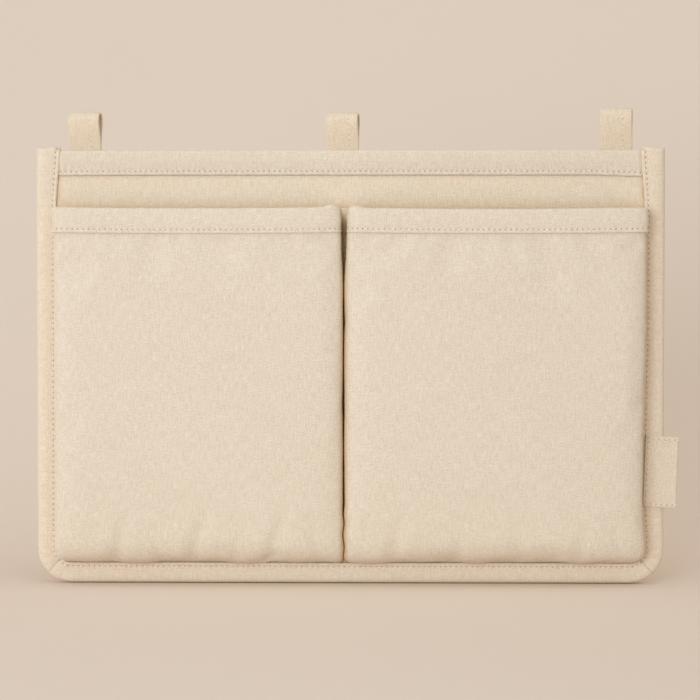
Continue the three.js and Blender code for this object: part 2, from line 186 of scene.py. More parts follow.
class CaddyCloth(bpy.types.PropertyGroup):
    """How the cloth settles, and its colours"""

    growth: share("Growth", "How much wider the pocket cloth is than the seams that hold it", 0.005)
    pressure: number("Pressure", "Push of the wadding behind the cloth", 0.8)
    reach: length("Reach", "The furthest that settling may move the cloth", 0.002)
    weave: length("Weave", "From one thread of the canvas to the next", 0.00075)
    canvas: colour("Canvas", "Natural cotton canvas", (0.793, 0.675, 0.533))
    # Lighter than the pockets' canvas: painted light that offsets the shade the pockets and the hem cast on
    # the front cover
    cover: colour("Cover", "Canvas of the panel's front cover", (0.865, 0.72, 0.547))
    binding: colour("Binding", "Canvas of the binding strips", (0.83, 0.69, 0.53))
    lining: colour("Lining", "Lining of the pockets", (0.80, 0.685, 0.545))
    strap: colour("Strap", "Canvas of the hanging loops", (0.82, 0.675, 0.505))
    tape: colour("Tape", "Woven tape of the label", (0.87, 0.73, 0.565))
    wadding: colour("Wadding", "Bleached cotton wadding", (0.88, 0.83, 0.74))
    thread: colour("Thread", "Sewing thread", (0.94, 0.83, 0.66))


class CaddyStudio(bpy.types.PropertyGroup):
    """Camera, lamps and backdrop"""

    azimuth: turn("Azimuth", "The camera's turn to the right of the front", 1.0)
    elevation: turn("Elevation", "The camera's height above level", 2.0)
    distance: length("Distance", "From the camera to the caddy", 1.6)
    field: length("Field", "Width of the picture at the caddy", 0.4454)
    aim_x: length("Aim across", "Middle of the picture across the caddy", 0.00005)
    aim_z: length("Aim up", "Middle of the picture up the caddy", -0.1505)
    key: power("Key", "Power of the large lamp at the front left", 95.5)
    top: power("Top", "Power of the soft lamp overhead", 5.2)
    side: power("Side", "Power of the soft lamp on the left", 7.5)
    sky: share("Sky", "Strength of the even light from all round", 0.60)
    backdrop: colour("Backdrop", "Paper of the floor and backdrop", (0.842, 0.722, 0.616))


class CaddySettings(bpy.types.PropertyGroup):
    """All the settings of the caddy"""

    sizes: bpy.props.PointerProperty(type=CaddySizes)
    sewing: bpy.props.PointerProperty(type=CaddySewing)
    cloth: bpy.props.PointerProperty(type=CaddyCloth)
    studio: bpy.props.PointerProperty(type=CaddyStudio)


# Curves and grids of points
def smooth(low, high, value):
    """0 up to low, 1 from high on, and a smooth rise between them."""
    part = np.clip((value - low) / (high - low), 0.0, 1.0)
    return part * part * (3.0 - 2.0 * part)


def hump(value, middle, width):
    """A soft bump of height 1 round the middle."""
    return np.exp(-(((value - middle) / width) ** 2))


def running(steps):
    """The distance of each point from the first one, by the steps between them."""
    return np.concatenate([[0.0], np.cumsum(steps)])


def run_along(line):
    """The distance of each point of a line from its first point."""
    return running(np.linalg.norm(np.diff(line, axis=0), axis=1))


def even(line, count):
    """The same line through evenly spaced points."""
    run = run_along(line)
    wanted = np.linspace(0.0, run[-1], count)
    return np.stack([np.interp(wanted, run, line[:, k]) for k in range(line.shape[1])], axis=1)


def even_columns(points, row, cols):
    """The grid with its columns spread evenly along one of its rows."""
    run = run_along(points[row])
    index = np.interp(np.linspace(0.0, run[-1], cols), run, np.arange(len(run)))
    low = np.clip(np.floor(index).astype(int), 0, len(run) - 2)
    part = (index - low)[None, :, None]
    return points[:, low] * (1 - part) + points[:, low + 1] * part


def arc(across, up, radius, start, end, count=13):
    angles = np.linspace(start, end, count)
    return np.stack([across + radius * np.cos(angles), up + radius * np.sin(angles)], axis=1)


def fold(radius, blunt, count):
    """Places across a blunted half circle, and how far it reaches out at each of them."""
    angles = np.linspace(-np.pi / 2, np.pi / 2, count)
    across = radius * np.sign(angles) * np.abs(np.sin(angles)) ** (2 / blunt)
    return across, radius * np.abs(np.cos(angles)) ** (2 / blunt)


def corner_cut(height, radius):
    """How far a rounded lower corner draws the side in at a height above its foot."""
    rise = np.clip(radius - height, 0.0, radius)
    return radius - np.sqrt(radius**2 - rise**2)


def normals(points):
    """The facing direction at each point of a grid."""
    facing = np.cross(np.gradient(points, axis=1), np.gradient(points, axis=0))
    return facing / np.maximum(np.linalg.norm(facing, axis=2, keepdims=True), 1e-12)


def normals_outward(points):
    """The facing directions of a folded grid on its outer side."""
    facing = normals(points)
    out = np.sum(facing * (points - points.mean(axis=(0, 1))))
    return facing if out > 0 else -facing


def swept(section, across):
    """A grid of points that carries a section, as values of y and z, along values of x."""
    x, y, z = np.broadcast_arrays(across, section[:, :1], section[:, 1:])
    return np.dstack([x, y, z])


def refine(field, rows, cols):
    """A field on a coarse grid, smoothly brought to a finer grid."""
    for axis, count in ((0, rows), (1, cols)):
        last = field.shape[axis] - 1
        wanted = np.linspace(0.0, last, count)
        start = np.clip(np.floor(wanted).astype(int), 0, last - 1)
        part = (wanted - start).reshape([-1, 1, 1] if axis == 0 else [1, -1, 1])
        a, b, c, d = (np.take(field, np.clip(start + k, 0, last), axis=axis) for k in (-1, 0, 1, 2))
        curve = (2 * a - 5 * b + 4 * c - d) + part * (3 * (b - c) + d - a)
        field = b + 0.5 * part * (c - a + part * curve)
    return field


# Cloth: a grid of points becomes a closed sheet with rounded edges
def cut_places(points):
    """A grid of points, each with its place in the flat cut of the cloth as two more numbers."""
    def run(axis):
        return running(np.linalg.norm(np.diff(points, axis=axis), axis=2).mean(axis=1 - axis))

    up, across = np.meshgrid(run(0), run(1), indexing="ij")
    return np.dstack([points, across, up])


def with_rim(grid, thickness):
    """The grid with rows added close to its first and last row, and how full the cloth is at each row."""
    def beside(edge, second):
        gap = np.linalg.norm(second[:, :3] - edge[:, :3], axis=1).mean()
        near = [part * thickness / gap for part in (0.14, 0.5) if part * thickness < 0.9 * gap]
        return [edge + (second - edge) * part for part in near]

    rows = [grid[0], *beside(grid[0], grid[1]), *grid[1:-1], *beside(grid[-1], grid[-2])[::-1], grid[-1]]
    rows = np.stack(rows)
    run = running(np.linalg.norm(np.diff(rows[..., :3], axis=0), axis=2).mean(axis=1))
    reach = np.minimum(np.minimum(run, run[-1] - run) * 2 / thickness, 1.0)
    return rows, np.maximum(np.sqrt(1.0 - (1.0 - reach) ** 2), 0.2)


def cloth(name, points, thickness, material, fullness=None, **layers):
    """A closed sheet of cloth, half of it on each side of a grid of points, with named coordinates."""
    if fullness is None:
        fullness = np.ones(points.shape[:2])
    grid = np.dstack([cut_places(points), fullness, *layers.values()])
    grid, up_full = with_rim(grid, thickness)
    grid, across_full = with_rim(grid.swapaxes(0, 1), thickness)
    grid = grid.swapaxes(0, 1)
    half = thickness / 2 * np.minimum.outer(up_full, across_full) * grid[..., 5]
    centre = grid[..., :3]
    lift = normals(centre) * half[..., None]
    places = {"cut": grid[..., 3:5]}
    for number, layer in enumerate(layers):
        places[layer] = grid[..., 6 + 2 * number : 8 + 2 * number]
    return closed_mesh(name, centre + lift, centre - lift, places, material)


def grid_faces(index):
    square = [index[:-1, :-1], index[:-1, 1:], index[1:, 1:], index[1:, :-1]]
    return np.stack(square, axis=-1).reshape(-1, 4)


def grid_mesh(name, points):
    """A mesh with one face for each square of a grid of points."""
    rows, cols = points.shape[:2]
    index = np.arange(rows * cols).reshape(rows, cols)
    mesh = bpy.data.meshes.new(name)
    mesh.from_pydata(points.reshape(-1, 3).tolist(), [], grid_faces(index).tolist())
    return mesh


def closed_mesh(name, face, back, layers, material):
    """Joins two grids along their borders into one closed mesh, with layers of coordinates on it."""
    rows, cols = face.shape[:2]
    index = np.arange(rows * cols).reshape(rows, cols)
    border = np.concatenate([index[0, :-1], index[:-1, -1], index[-1, :0:-1], index[:0:-1, 0]])
    after = np.roll(border, -1)
    behind = index.size
    rim = np.stack([after, border, border + behind, after + behind], axis=1)
    sheet = grid_faces(index)
    faces = np.concatenate([sheet, sheet[:, ::-1] + behind, rim])
    points = np.concatenate([face.reshape(-1, 3), back.reshape(-1, 3)])
    mesh = bpy.data.meshes.new(name)
    mesh.from_pydata(points.tolist(), [], faces.tolist())
    used = np.empty(len(mesh.loops), np.int32)
    mesh.loops.foreach_get("vertex_index", used)
    for label, places in layers.items():
        places = np.concatenate([places.reshape(-1, 2)] * 2)
        mesh.uv_layers.new(name=label).data.foreach_set("uv", places[used].ravel())
    return finished(name, mesh, material)


def finished(name, mesh, material):
    """An object for a mesh, smooth, with its material."""
    mesh.polygons.foreach_set("use_smooth", np.ones(len(mesh.polygons), bool))
    mesh.materials.clear()
    mesh.materials.append(material)
    piece = bpy.data.objects.new(name, mesh)
    bpy.context.scene.collection.objects.link(piece)
    return piece


# How long cloth settles, and the share of its way that it keeps across, through and up the sheet
SETTLE_FRAMES = 20
SETTLE_SHARES = (0.2, 1.0, 0.6)


def settle(points, held, settings):
    """Lets a sheet that is sewn down at its held points settle as cloth, and returns how they all move."""
    rows, cols = points.shape[:2]
    mesh = grid_mesh("settling", points)
    sheet = bpy.data.objects.new("settling", mesh)
    scene = bpy.context.scene
    scene.collection.objects.link(sheet)
    group = sheet.vertex_groups.new(name="held")
    group.add(np.flatnonzero(held).tolist(), 1.0, "REPLACE")
    simulation = sheet.modifiers.new("settle", "CLOTH")
    canvas = simulation.settings
    canvas.quality = 8
    canvas.mass = 0.15
    canvas.tension_stiffness = 40
    canvas.compression_stiffness = 40
    canvas.shear_stiffness = 20
    canvas.bending_stiffness = 12
    canvas.air_damping = 4
    canvas.vertex_group_mass = "held"
    canvas.shrink_min = -settings.growth
    canvas.use_pressure = True
    canvas.uniform_pressure_force = settings.pressure
    canvas.effector_weights.gravity = 0
    simulation.collision_settings.use_collision = False
    for moment in range(1, SETTLE_FRAMES + 1):
        scene.frame_set(moment)
    settled = sheet.evaluated_get(bpy.context.evaluated_depsgraph_get())
    ends = np.empty(rows * cols * 3, np.float32)
    settled.data.vertices.foreach_get("co", ends)
    moves = ends.reshape(rows, cols, 3) - points
    scene.frame_set(1)
    bpy.data.objects.remove(sheet)
    bpy.data.meshes.remove(mesh)
    moves *= SETTLE_SHARES
    far = np.linalg.norm(moves, axis=2, keepdims=True)
    return moves * np.minimum(1.0, settings.reach / np.maximum(far, 1e-9))


# Materials
class Wiring:
    """Adds nodes to a tree, with their inputs set or linked as they are made."""

    def __init__(self, tree):
        self.tree = tree

    def feed(self, node, inputs):
        """Sets or links some inputs of a node."""
        for name, value in inputs.items():
            if isinstance(value, bpy.types.NodeSocket):
                self.tree.links.new(value, node.inputs[name])
            else:
                node.inputs[name].default_value = value

    def add(self, kind, inputs=None, **settings):
        node = self.tree.nodes.new(kind)
        for name, value in settings.items():
            setattr(node, name, value)
        self.feed(node, inputs or {})
        return node

    def math(self, operation, *values):
        return self.add("ShaderNodeMath", dict(enumerate(values)), operation=operation).outputs[0]

    def noise(self, place, scale, detail=2.0, stretch=None):
        """Noise from -0.5 to 0.5."""
        if stretch:
            place = self.add("ShaderNodeMapping", {"Vector": place, "Scale": stretch}).outputs[0]
        made = self.add("ShaderNodeTexNoise", {"Vector": place, "Scale": scale, "Detail": detail})
        return self.math("SUBTRACT", made.outputs["Fac"], 0.5)

    def weighed(self, start, *terms):
        """start plus each value times its weight."""
        total = start
        for value, weight in terms:
            total = self.math("MULTIPLY_ADD", value, weight, total)
        return total

    def mapped(self, label):
        """The place on one of the cloth's layers of coordinates, and its parts."""
        place = self.add("ShaderNodeUVMap", uv_map=label).outputs[0]
        return place, self.add("ShaderNodeSeparateXYZ", {0: place}).outputs

    def fade(self, distance, none, full):
        """1 up to the full distance, 0 from the other on, and a smooth fall between them."""
        inputs = {"Value": distance, "From Min": none, "From Max": full}
        return self.add("ShaderNodeMapRange", inputs, interpolation_type="SMOOTHSTEP").outputs[0]

    def mixed(self, tone, other, amount, way="MIX"):
        inputs = {"Fac": amount, "Color1": tone, "Color2": (*other, 1.0)}
        return self.add("ShaderNodeMixRGB", inputs, blend_type=way).outputs[0]

    def bump(self, height, strength, distance):
        inputs = {"Height": height, "Strength": strength, "Distance": distance}
        return self.add("ShaderNodeBump", inputs).outputs[0]


def blank_material(name, colour):
    """A new material with only its surface node, and a helper to wire it."""
    material = bpy.data.materials.new(name)
    material.use_nodes = True
    material.diffuse_color = (*colour, 1.0)
    wiring = Wiring(material.node_tree)
    return material, wiring, material.node_tree.nodes["Principled BSDF"]


# How far red, green and blue go from the tone in its darkest and lightest spots
TONE_SHIFTS = np.array((0.11, 0.15, 0.21))
# What painted shade leaves of red, green and blue in a deep crease, and in a needle hole
CREASE_SHADE_TINT = (0.92, 0.78, 0.57)
HOLE_SHADE_TINT = (0.60, 0.45, 0.30)
# Where the painted shade of a needle hole, and the painted shade along a row of stitches, fade out and where
# they are full
HOLE_FADE = (0.6 * MM, 0.25 * MM)
ROW_FADE = (1.3 * MM, 0.1 * MM)


def tinted(wiring, colour, amount, spread=1.0):
    """The colour, darker and warmer where the amount is below a half, lighter and cooler above it."""
    ramp = wiring.add("ShaderNodeValToRGB", {"Fac": amount})
    steps = ramp.color_ramp.elements
    steps.new(0.5)
    for step, way in zip(steps, (-1.0, 0.0, 1.0)):
        step.position = 0.5 + 0.5 * way
        step.color = (*np.clip(np.array(colour) * (1.0 + way * TONE_SHIFTS * spread), 0.0, 1.0), 1.0)
    return ramp.outputs["Color"]


def needle_holes(wiring, pitch):
    """Masks for painted shade: 1 in the needle holes of a seam, and 1 along its whole row, both fading to 0
    beside it.
    """
    parts = wiring.mapped("seam")[1]
    along = wiring.math("MULTIPLY", wiring.math("PINGPONG", parts[0], 0.5), pitch)
    beside = wiring.math("ABSOLUTE", parts[1])
    squares = [wiring.math("POWER", way, 2.0) for way in (along, beside)]
    far = wiring.math("SQRT", wiring.math("ADD", *squares))
    return wiring.fade(far, *HOLE_FADE), wiring.fade(beside, *ROW_FADE)


def woven(name, colour, weave, pitch, holes, creased):
    """Plain-woven cotton: uneven threads, slubs, mottling and any needle holes, with painted shade in the
    holes, along their rows and in creases.
    """
    material, wiring, surface = blank_material(name, colour)
    place, parts = wiring.mapped("cut")
    drift = wiring.noise(place, 110.0)
    waves = []
    for part, lean in ((parts[0], 0.7), (parts[1], -0.7)):
        thread = wiring.math("MULTIPLY_ADD", drift, lean, wiring.math("DIVIDE", part, weave))
        waves.append(wiring.math("SINE", wiring.math("MULTIPLY", thread, math.pi)))
    crossing = wiring.math("MULTIPLY", *waves)
    pillow = wiring.math("ABSOLUTE", crossing)
    fine = 0.8 / weave
    warp = wiring.noise(place, 1.0, stretch=(fine, 160.0, 1.0))
    weft = wiring.noise(place, 1.0, stretch=(260.0, fine, 1.0))
    mottle = wiring.noise(place, 60.0, 3.0)
    patch = wiring.noise(place, 9.0)
    grain = wiring.noise(place, 1400.0)
    amount = wiring.weighed(
        0.5, (warp, 1.2), (weft, 1.0), (mottle, 0.2), (patch, 0.2), (grain, 2.4), (crossing, 0.35)
    )
    height = wiring.weighed(0.0, (pillow, 0.5), (warp, 0.6), (weft, 0.5), (grain, 0.9))
    tone = tinted(wiring, colour, amount)
    # Needle holes pressed in as bumps, with painted shade in each hole and a fainter painted shade along the
    # row
    if holes:
        hole, row = needle_holes(wiring, pitch)
        height = wiring.weighed(height, (hole, -1.5))
        shade = wiring.math("MULTIPLY", wiring.weighed(0.0, (hole, 1.0), (row, 0.12)), holes)
        tone = wiring.mixed(tone, np.array(colour) * HOLE_SHADE_TINT, shade)
    # Painted shade: the cloth is made darker and warmer where it lies deep in a crease
    if creased:
        deep = wiring.mapped("crease")[1][0]
        tone = wiring.mixed(tone, CREASE_SHADE_TINT, deep, "MULTIPLY")
    inputs = {
        "Base Color": tone,
        "Normal": wiring.bump(height, 0.8, 0.3 * MM),
        "Roughness": wiring.math("MULTIPLY_ADD", pillow, -0.08, 0.96),
        "Sheen Weight": 0.2,
        "Sheen Roughness": 0.6,
        "Specular IOR Level": 0.15,
    }
    wiring.feed(surface, inputs)
    return material


def fibrous(name, colour):
    """Loose cotton wadding."""
    material, wiring, surface = blank_material(name, colour)
    place = wiring.add("ShaderNodeTexCoord").outputs["Object"]
    tufts = wiring.noise(place, 160.0, 5.0)
    hairs = wiring.noise(place, 1.0, 3.0, stretch=(900.0, 900.0, 90.0))
    amount = wiring.weighed(0.5, (tufts, 0.8), (hairs, 0.5))
    height = wiring.weighed(0.0, (tufts, 1.0), (hairs, 0.5))
    inputs = {
        "Base Color": tinted(wiring, colour, amount),
        "Normal": wiring.bump(height, 1.0, 0.8 * MM),
        "Roughness": 1.0,
    }
    wiring.feed(surface, inputs)
    return material


def twisted(name, colour):
    """Sewing thread, with its twist as fine slanting lines."""
    material, wiring, surface = blank_material(name, colour)
    place = wiring.add("ShaderNodeTexCoord").outputs["Object"]
    slant = wiring.add("ShaderNodeMapping", {"Vector": place, "Rotation": (0.4, 0.6, 0.7)}).outputs[0]
    lines = {"Vector": slant, "Scale": 900.0, "Distortion": 1.5}
    twist = wiring.add("ShaderNodeTexWave", lines).outputs["Fac"]
    amount = wiring.weighed(0.35, (twist, 0.3), (wiring.noise(place, 700.0), 0.5))
    inputs = {
        "Base Color": tinted(wiring, colour, amount),
        "Normal": wiring.bump(twist, 0.5, 0.1 * MM),
        "Roughness": 0.75,
        "Sheen Weight": 0.2,
    }
    wiring.feed(surface, inputs)
    return material


def paper(name, colour):
    """Matt seamless paper with a barely uneven tone, which is seen from its front only."""
    material, wiring, surface = blank_material(name, colour)
    place = wiring.add("ShaderNodeTexCoord").outputs["Object"]
    amount = wiring.weighed(0.5, (wiring.noise(place, 2.5, 3.0), 0.6))
    tone = tinted(wiring, colour, amount, 0.25)
    wiring.feed(surface, {"Base Color": tone, "Roughness": 0.95, "Specular IOR Level": 0.1})
    back = wiring.add("ShaderNodeNewGeometry").outputs["Backfacing"]
    clear = wiring.add("ShaderNodeBsdfTransparent").outputs[0]
    sides = wiring.add("ShaderNodeMixShader", {0: back, 1: surface.outputs[0], 2: clear}).outputs[0]
    wiring.feed(material.node_tree.nodes["Material Output"], {"Surface": sides})
    return material


# How much finer than canvas a tape or strap is woven, and how dark the painted shade in the needle holes of
# each cloth is
FINENESS = {"tape": 0.55, "strap": 0.8}
HOLE_SHADES = {"canvas": 0.9, "binding": 0.9, "strap": 0.15, "tape": 0.4}


def look(name):
    """One of the caddy's materials, made when it is first asked for."""
    if name in bpy.data.materials:
        return bpy.data.materials[name]
    caddy = bpy.context.scene.caddy
    kind, _, way = name.partition("_")
    tone = tuple(getattr(caddy.cloth, kind))
    if kind == "wadding":
        return fibrous(name, tone)
    if kind == "thread":
        return twisted(name, tone)
    weave = caddy.cloth.weave * FINENESS.get(kind, 1.0)
    holes = HOLE_SHADES[kind] if way == "sewn" else 0.0
    return woven(name, tone, weave, caddy.sewing.pitch, holes, way == "creased")


# Seams: how far to each side a row of stitches draws a fold in, and how much less it does at each stitch
DRAW_WIDTH, DRAW_GIVE = 0.75 * MM, 0.22
# The same on flat cloth, with the depth of the row
FLAT_DEPTH, FLAT_GIVE = 0.25 * MM, 0.3


def tug(stitches, count, give):
    """How hard each point along a row of stitches is drawn in: 1 between two stitches, less at each one."""
    return 1.0 - give + give * np.cos(2 * np.pi * stitches * np.linspace(0.0, 1.0, count))


def relief(distance, stitches, cols, sewing):
    """How far a sewn, folded edge stands out at each distance from the fold."""
    draw = np.outer(hump(distance, sewing.inset, DRAW_WIDTH), tug(stitches, cols, DRAW_GIVE)) * sewing.draw
    ridge = hump(distance, 0.35 * sewing.inset, 0.35 * sewing.inset) * sewing.ridge
    curl = hump(distance, 0.0, 0.25 * sewing.inset) * sewing.curl
    return (ridge - curl)[:, None] - draw


def flat_dip(beside, width, stitches):
    """How deep a row of stitches lies on a grid of flat cloth, by how far beside the row each point is."""
    return FLAT_DEPTH * hump(beside, 0.0, width) * tug(stitches, len(beside), FLAT_GIVE)[:, None]


def sewn_fold(run, stitches, cols, sewing, puff, middle, width):
    """How far a fold that is sewn along both edges stands out, with a swelling inside each of them."""
    from_end = run[-1] - run
    swell = hump(run, middle, width) + hump(from_end, middle, width)
    edges = relief(run, stitches, cols, sewing) + relief(from_end, stitches, cols, sewing)
    return edges + puff * sewing.puff * swell[:, None]


def seam_places(along, beside):
    """Coordinates on the cloth that run in stitches along a seam and in metres beside it."""
    return np.stack(np.broadcast_arrays(along, beside), axis=-1)


def crease_shade_places(*amounts):
    """Coordinates on the cloth that say how much painted shade a crease gets there: the deepest of some
    amounts.
    """
    deepest = np.clip(np.max(np.broadcast_arrays(*amounts), axis=0), 0.0, 1.0)
    return np.stack([deepest, np.zeros_like(deepest)], axis=-1)


def stitch_count(span, sewing):
    return max(round(span / sewing.pitch), 1)


def seam_on_face(points, row, direction, thickness, stitches, sewing):
    """The line of a seam on a grid's row, on the side of the cloth that looks in a direction there."""
    facing = normals(points)[row]
    facing = facing if np.sum(facing @ direction) > 0 else -facing
    line = points[row] + facing * (thickness / 2 + 0.1 * sewing.thread)
    half = max((len(line) - 1) // (2 * stitches), 1)
    return line[half:-half], facing[half:-half], stitches


def trimmed(seam, low, high):
    """The stitches of a seam that lie between two heights."""
    line, facing, stitches = seam
    step = round((len(line) - 1) / (stitches - 1))
    line, facing = line[::step], facing[::step]
    kept = (line[:, 2] >= low) & (line[:, 2] <= high)
    return line[kept], facing[kept], np.count_nonzero(kept)


def stitch_tree():
    """Geometry nodes that lay stitches evenly along a line, turned to the cloth."""
    name = "Stitch row"
    if name in bpy.data.node_groups:
        return bpy.data.node_groups[name]
    tree = bpy.data.node_groups.new(name, "GeometryNodeTree")
    kinds = {
        "Geometry": "NodeSocketGeometry",
        "Stitches": "NodeSocketInt",
        "Stitch Length": "NodeSocketFloat",
        "Thread Width": "NodeSocketFloat",
        "Thread Rise": "NodeSocketFloat",
        "Unevenness": "NodeSocketFloat",
        "Seed": "NodeSocketInt",
        "Thread": "NodeSocketMaterial",
    }
    for label, kind in kinds.items():
        tree.interface.new_socket(label, in_out="INPUT", socket_type=kind)
    tree.interface.new_socket("Geometry", in_out="OUTPUT", socket_type="NodeSocketGeometry")
    wiring = Wiring(tree)
    given = wiring.add("NodeGroupInput").outputs
    line = wiring.add("GeometryNodeMeshToCurve", {"Mesh": given["Geometry"]}).outputs[0]
    spots = wiring.add("GeometryNodeResampleCurve", {"Curve": line, "Count": given["Stitches"]}, mode="COUNT")
    tangent = wiring.add("GeometryNodeInputTangent").outputs[0]
    up = wiring.add("GeometryNodeInputNamedAttribute", {"Name": "up"}, data_type="FLOAT_VECTOR")
    lie = wiring.add("FunctionNodeAlignRotationToVector", {"Vector": tangent}, axis="X").outputs[0]
    upright = {"Rotation": lie, "Vector": up.outputs["Attribute"]}
    face = wiring.add("FunctionNodeAlignRotationToVector", upright, axis="Z", pivot_axis="X").outputs[0]
    most = wiring.add("ShaderNodeCombineXYZ", {"Z": given["Unevenness"]}).outputs[0]
    least = wiring.add("ShaderNodeVectorMath", {0: most, "Scale": -1.0}, operation="SCALE").outputs[0]
    limits = {"Min": least, "Max": most, "Seed": given["Seed"]}
    wander = wiring.add("FunctionNodeRandomValue", limits, data_type="FLOAT_VECTOR").outputs["Value"]
    lean = wiring.add("FunctionNodeEulerToRotation", {"Euler": wander}).outputs[0]
    leaning = {"Rotation": face, "Rotate By": lean}
    turned = wiring.add("FunctionNodeRotateRotation", leaning, rotation_space="LOCAL")
    sides = {"X": given["Stitch Length"], "Y": given["Thread Width"], "Z": given["Thread Rise"]}
    size = wiring.add("ShaderNodeCombineXYZ", sides).outputs[0]
    grain = wiring.add("GeometryNodeMeshUVSphere", {"Segments": 8, "Rings": 6, "Radius": 0.5}).outputs[0]
    lying = {"Geometry": grain, "Rotation": (0, math.pi / 2, 0)}
    grain = wiring.add("GeometryNodeTransform", lying).outputs[0]
    stitch = wiring.add("GeometryNodeTransform", {"Geometry": grain, "Scale": size}).outputs[0]
    laid = wiring.add(
        "GeometryNodeInstanceOnPoints",
        {"Points": spots.outputs[0], "Instance": stitch, "Rotation": turned.outputs[0]},
    ).outputs[0]
    real = wiring.add("GeometryNodeRealizeInstances", {"Geometry": laid}).outputs[0]
    painted = wiring.add("GeometryNodeSetMaterial", {"Geometry": real, "Material": given["Thread"]})
    wiring.add("NodeGroupOutput", {"Geometry": painted.outputs[0]})
    return tree


def sew(name, rows):
    """One piece with the stitches of some rows, each a line of points, its facings and its count."""
    sewing = bpy.context.scene.caddy.sewing
    tree = stitch_tree()
    sockets = {item.name: item.identifier for item in tree.interface.items_tree if item.in_out == "INPUT"}
    points = []
    faces = []
    thread = look("thread")
    for seed, (line, up, stitches) in enumerate(rows):
        mesh = bpy.data.meshes.new(name)
        links = [(k, k + 1) for k in range(len(line) - 1)]
        mesh.from_pydata(np.asarray(line).tolist(), links, [])
        facing = mesh.attributes.new("up", "FLOAT_VECTOR", "POINT")
        facing.data.foreach_set("vector", np.asarray(up, np.float32).ravel())
        row = bpy.data.objects.new(name, mesh)
        bpy.context.scene.collection.objects.link(row)
        modifier = row.modifiers.new("stitches", "NODES")
        modifier.node_group = tree
        values = {
            "Stitches": int(stitches),
            "Stitch Length": sewing.stitch,
            "Thread Width": sewing.thread,
            "Thread Rise": 0.8 * sewing.thread,
            "Unevenness": sewing.unevenness,
            "Seed": seed,
            "Thread": thread,
        }
        for label, value in values.items():
            modifier[sockets[label]] = value
        row.update_tag()
        laid = bpy.data.meshes.new_from_object(row.evaluated_get(bpy.context.evaluated_depsgraph_get()))
        offset = len(points)
        points.extend(tuple(vertex.co) for vertex in laid.vertices)
        faces.extend([offset + index for index in polygon.vertices] for polygon in laid.polygons)
        bpy.data.objects.remove(row)
        bpy.data.meshes.remove(mesh)
        bpy.data.meshes.remove(laid)
    mesh = bpy.data.meshes.new(name)
    mesh.from_pydata(points, [], faces)
    return finished(name, mesh, thread)


# Attaching pieces to the frame
def dress(nodes):
    """Hides the frame's parts that a piece stands for."""
    if nodes:
        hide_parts(*nodes)


def fasten(piece, slot, body, *nodes):
    """Lets a piece move with a body."""
    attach(piece, body)
    dress(nodes)


def bend_with(piece, slot, start, end, bodies, *nodes):
    """Bakes a piece's place into its mesh, and hides the frame's parts that it stands for."""
    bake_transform(piece)
    dress(nodes)


def declare_sheet(points):
    """Works out the size a sheet's cloth was cut to and its area, and keeps neither."""
    places = cut_places(points)[-1, -1, 3:]
    float(cloth_area(points))


def cloth_area(points):
    """The area of a grid of points."""
    crossed = np.cross(points[1:, 1:] - points[:-1, :-1], points[1:, :-1] - points[:-1, 1:])
    area = np.linalg.norm(crossed, axis=2).sum() / 2
    places = cut_places(points)[-1, -1, 3:]
    return min(area, places[0] * places[1])


# The panel: rows and columns of its wadding, its covers and the sheet that settles on its back
PAD_GRID, COVER_GRID, BACK_GRID = (60, 84), (96, 140), (48, 70)
# How much of its settling the back cover keeps
BACK_SHARE = 0.5
# How wide and how deep a seam draws the panel in, and the share of its wadding that it presses out
SEAM_SPREAD, SEAM_SINK, SEAM_SQUEEZE = 2.2 * MM, 1.25 * MM, 0.42


def binding_inset(hand, height, sizes):
    """From the caddy's side to a side binding's inner edge, wider at its top end and low on the right."""
    flare = sizes.binding_flare * smooth(POCKET_TOP, BINDING_TOP, height)
    return sizes.binding_width + flare + right_drift(height, sizes) * (hand > 0)


def right_drift(height, sizes):
    """How far the right binding's inner edge stands in, low down beside the label."""
    above = height - BOTTOM - sizes.corner_radius
    return sizes.binding_drift * smooth(0.0, 0.025, above) * smooth(0.15, 0.07, above)


def panel_points(y, inset, grid, top):
    """A flat grid over the panel, with its two rounded lower corners."""
    sizes = bpy.context.scene.caddy.sizes
    rows, cols = grid
    heights = np.linspace(BOTTOM + inset, top, rows)
    half = SIDE - inset - corner_cut(heights - BOTTOM - inset, sizes.corner_radius - inset)
    across = np.outer(half, np.linspace(-1.0, 1.0, cols))
    return np.dstack([across, np.full((rows, cols), y), np.repeat(heights[:, None], cols, axis=1)])


def seam_dip(points):
    """1 along the rows of stitches that hold the panel's layers together, and 0 away from them."""
    scene = bpy.context.scene.caddy
    sizes = scene.sizes
    x, z = points[..., 0], points[..., 2]
    seam = sizes.binding_width - scene.sewing.inset
    sides = hump(SIDE - np.abs(x), seam, SEAM_SPREAD) * (z > BOTTOM + sizes.binding_width)
    foot = hump(z - BOTTOM, seam, SEAM_SPREAD)
    hem = hump(z, HEM_LOW[2] + scene.sewing.inset, SEAM_SPREAD)
    return np.clip(np.maximum(np.maximum(sides, foot), hem), 0.0, 1.0)


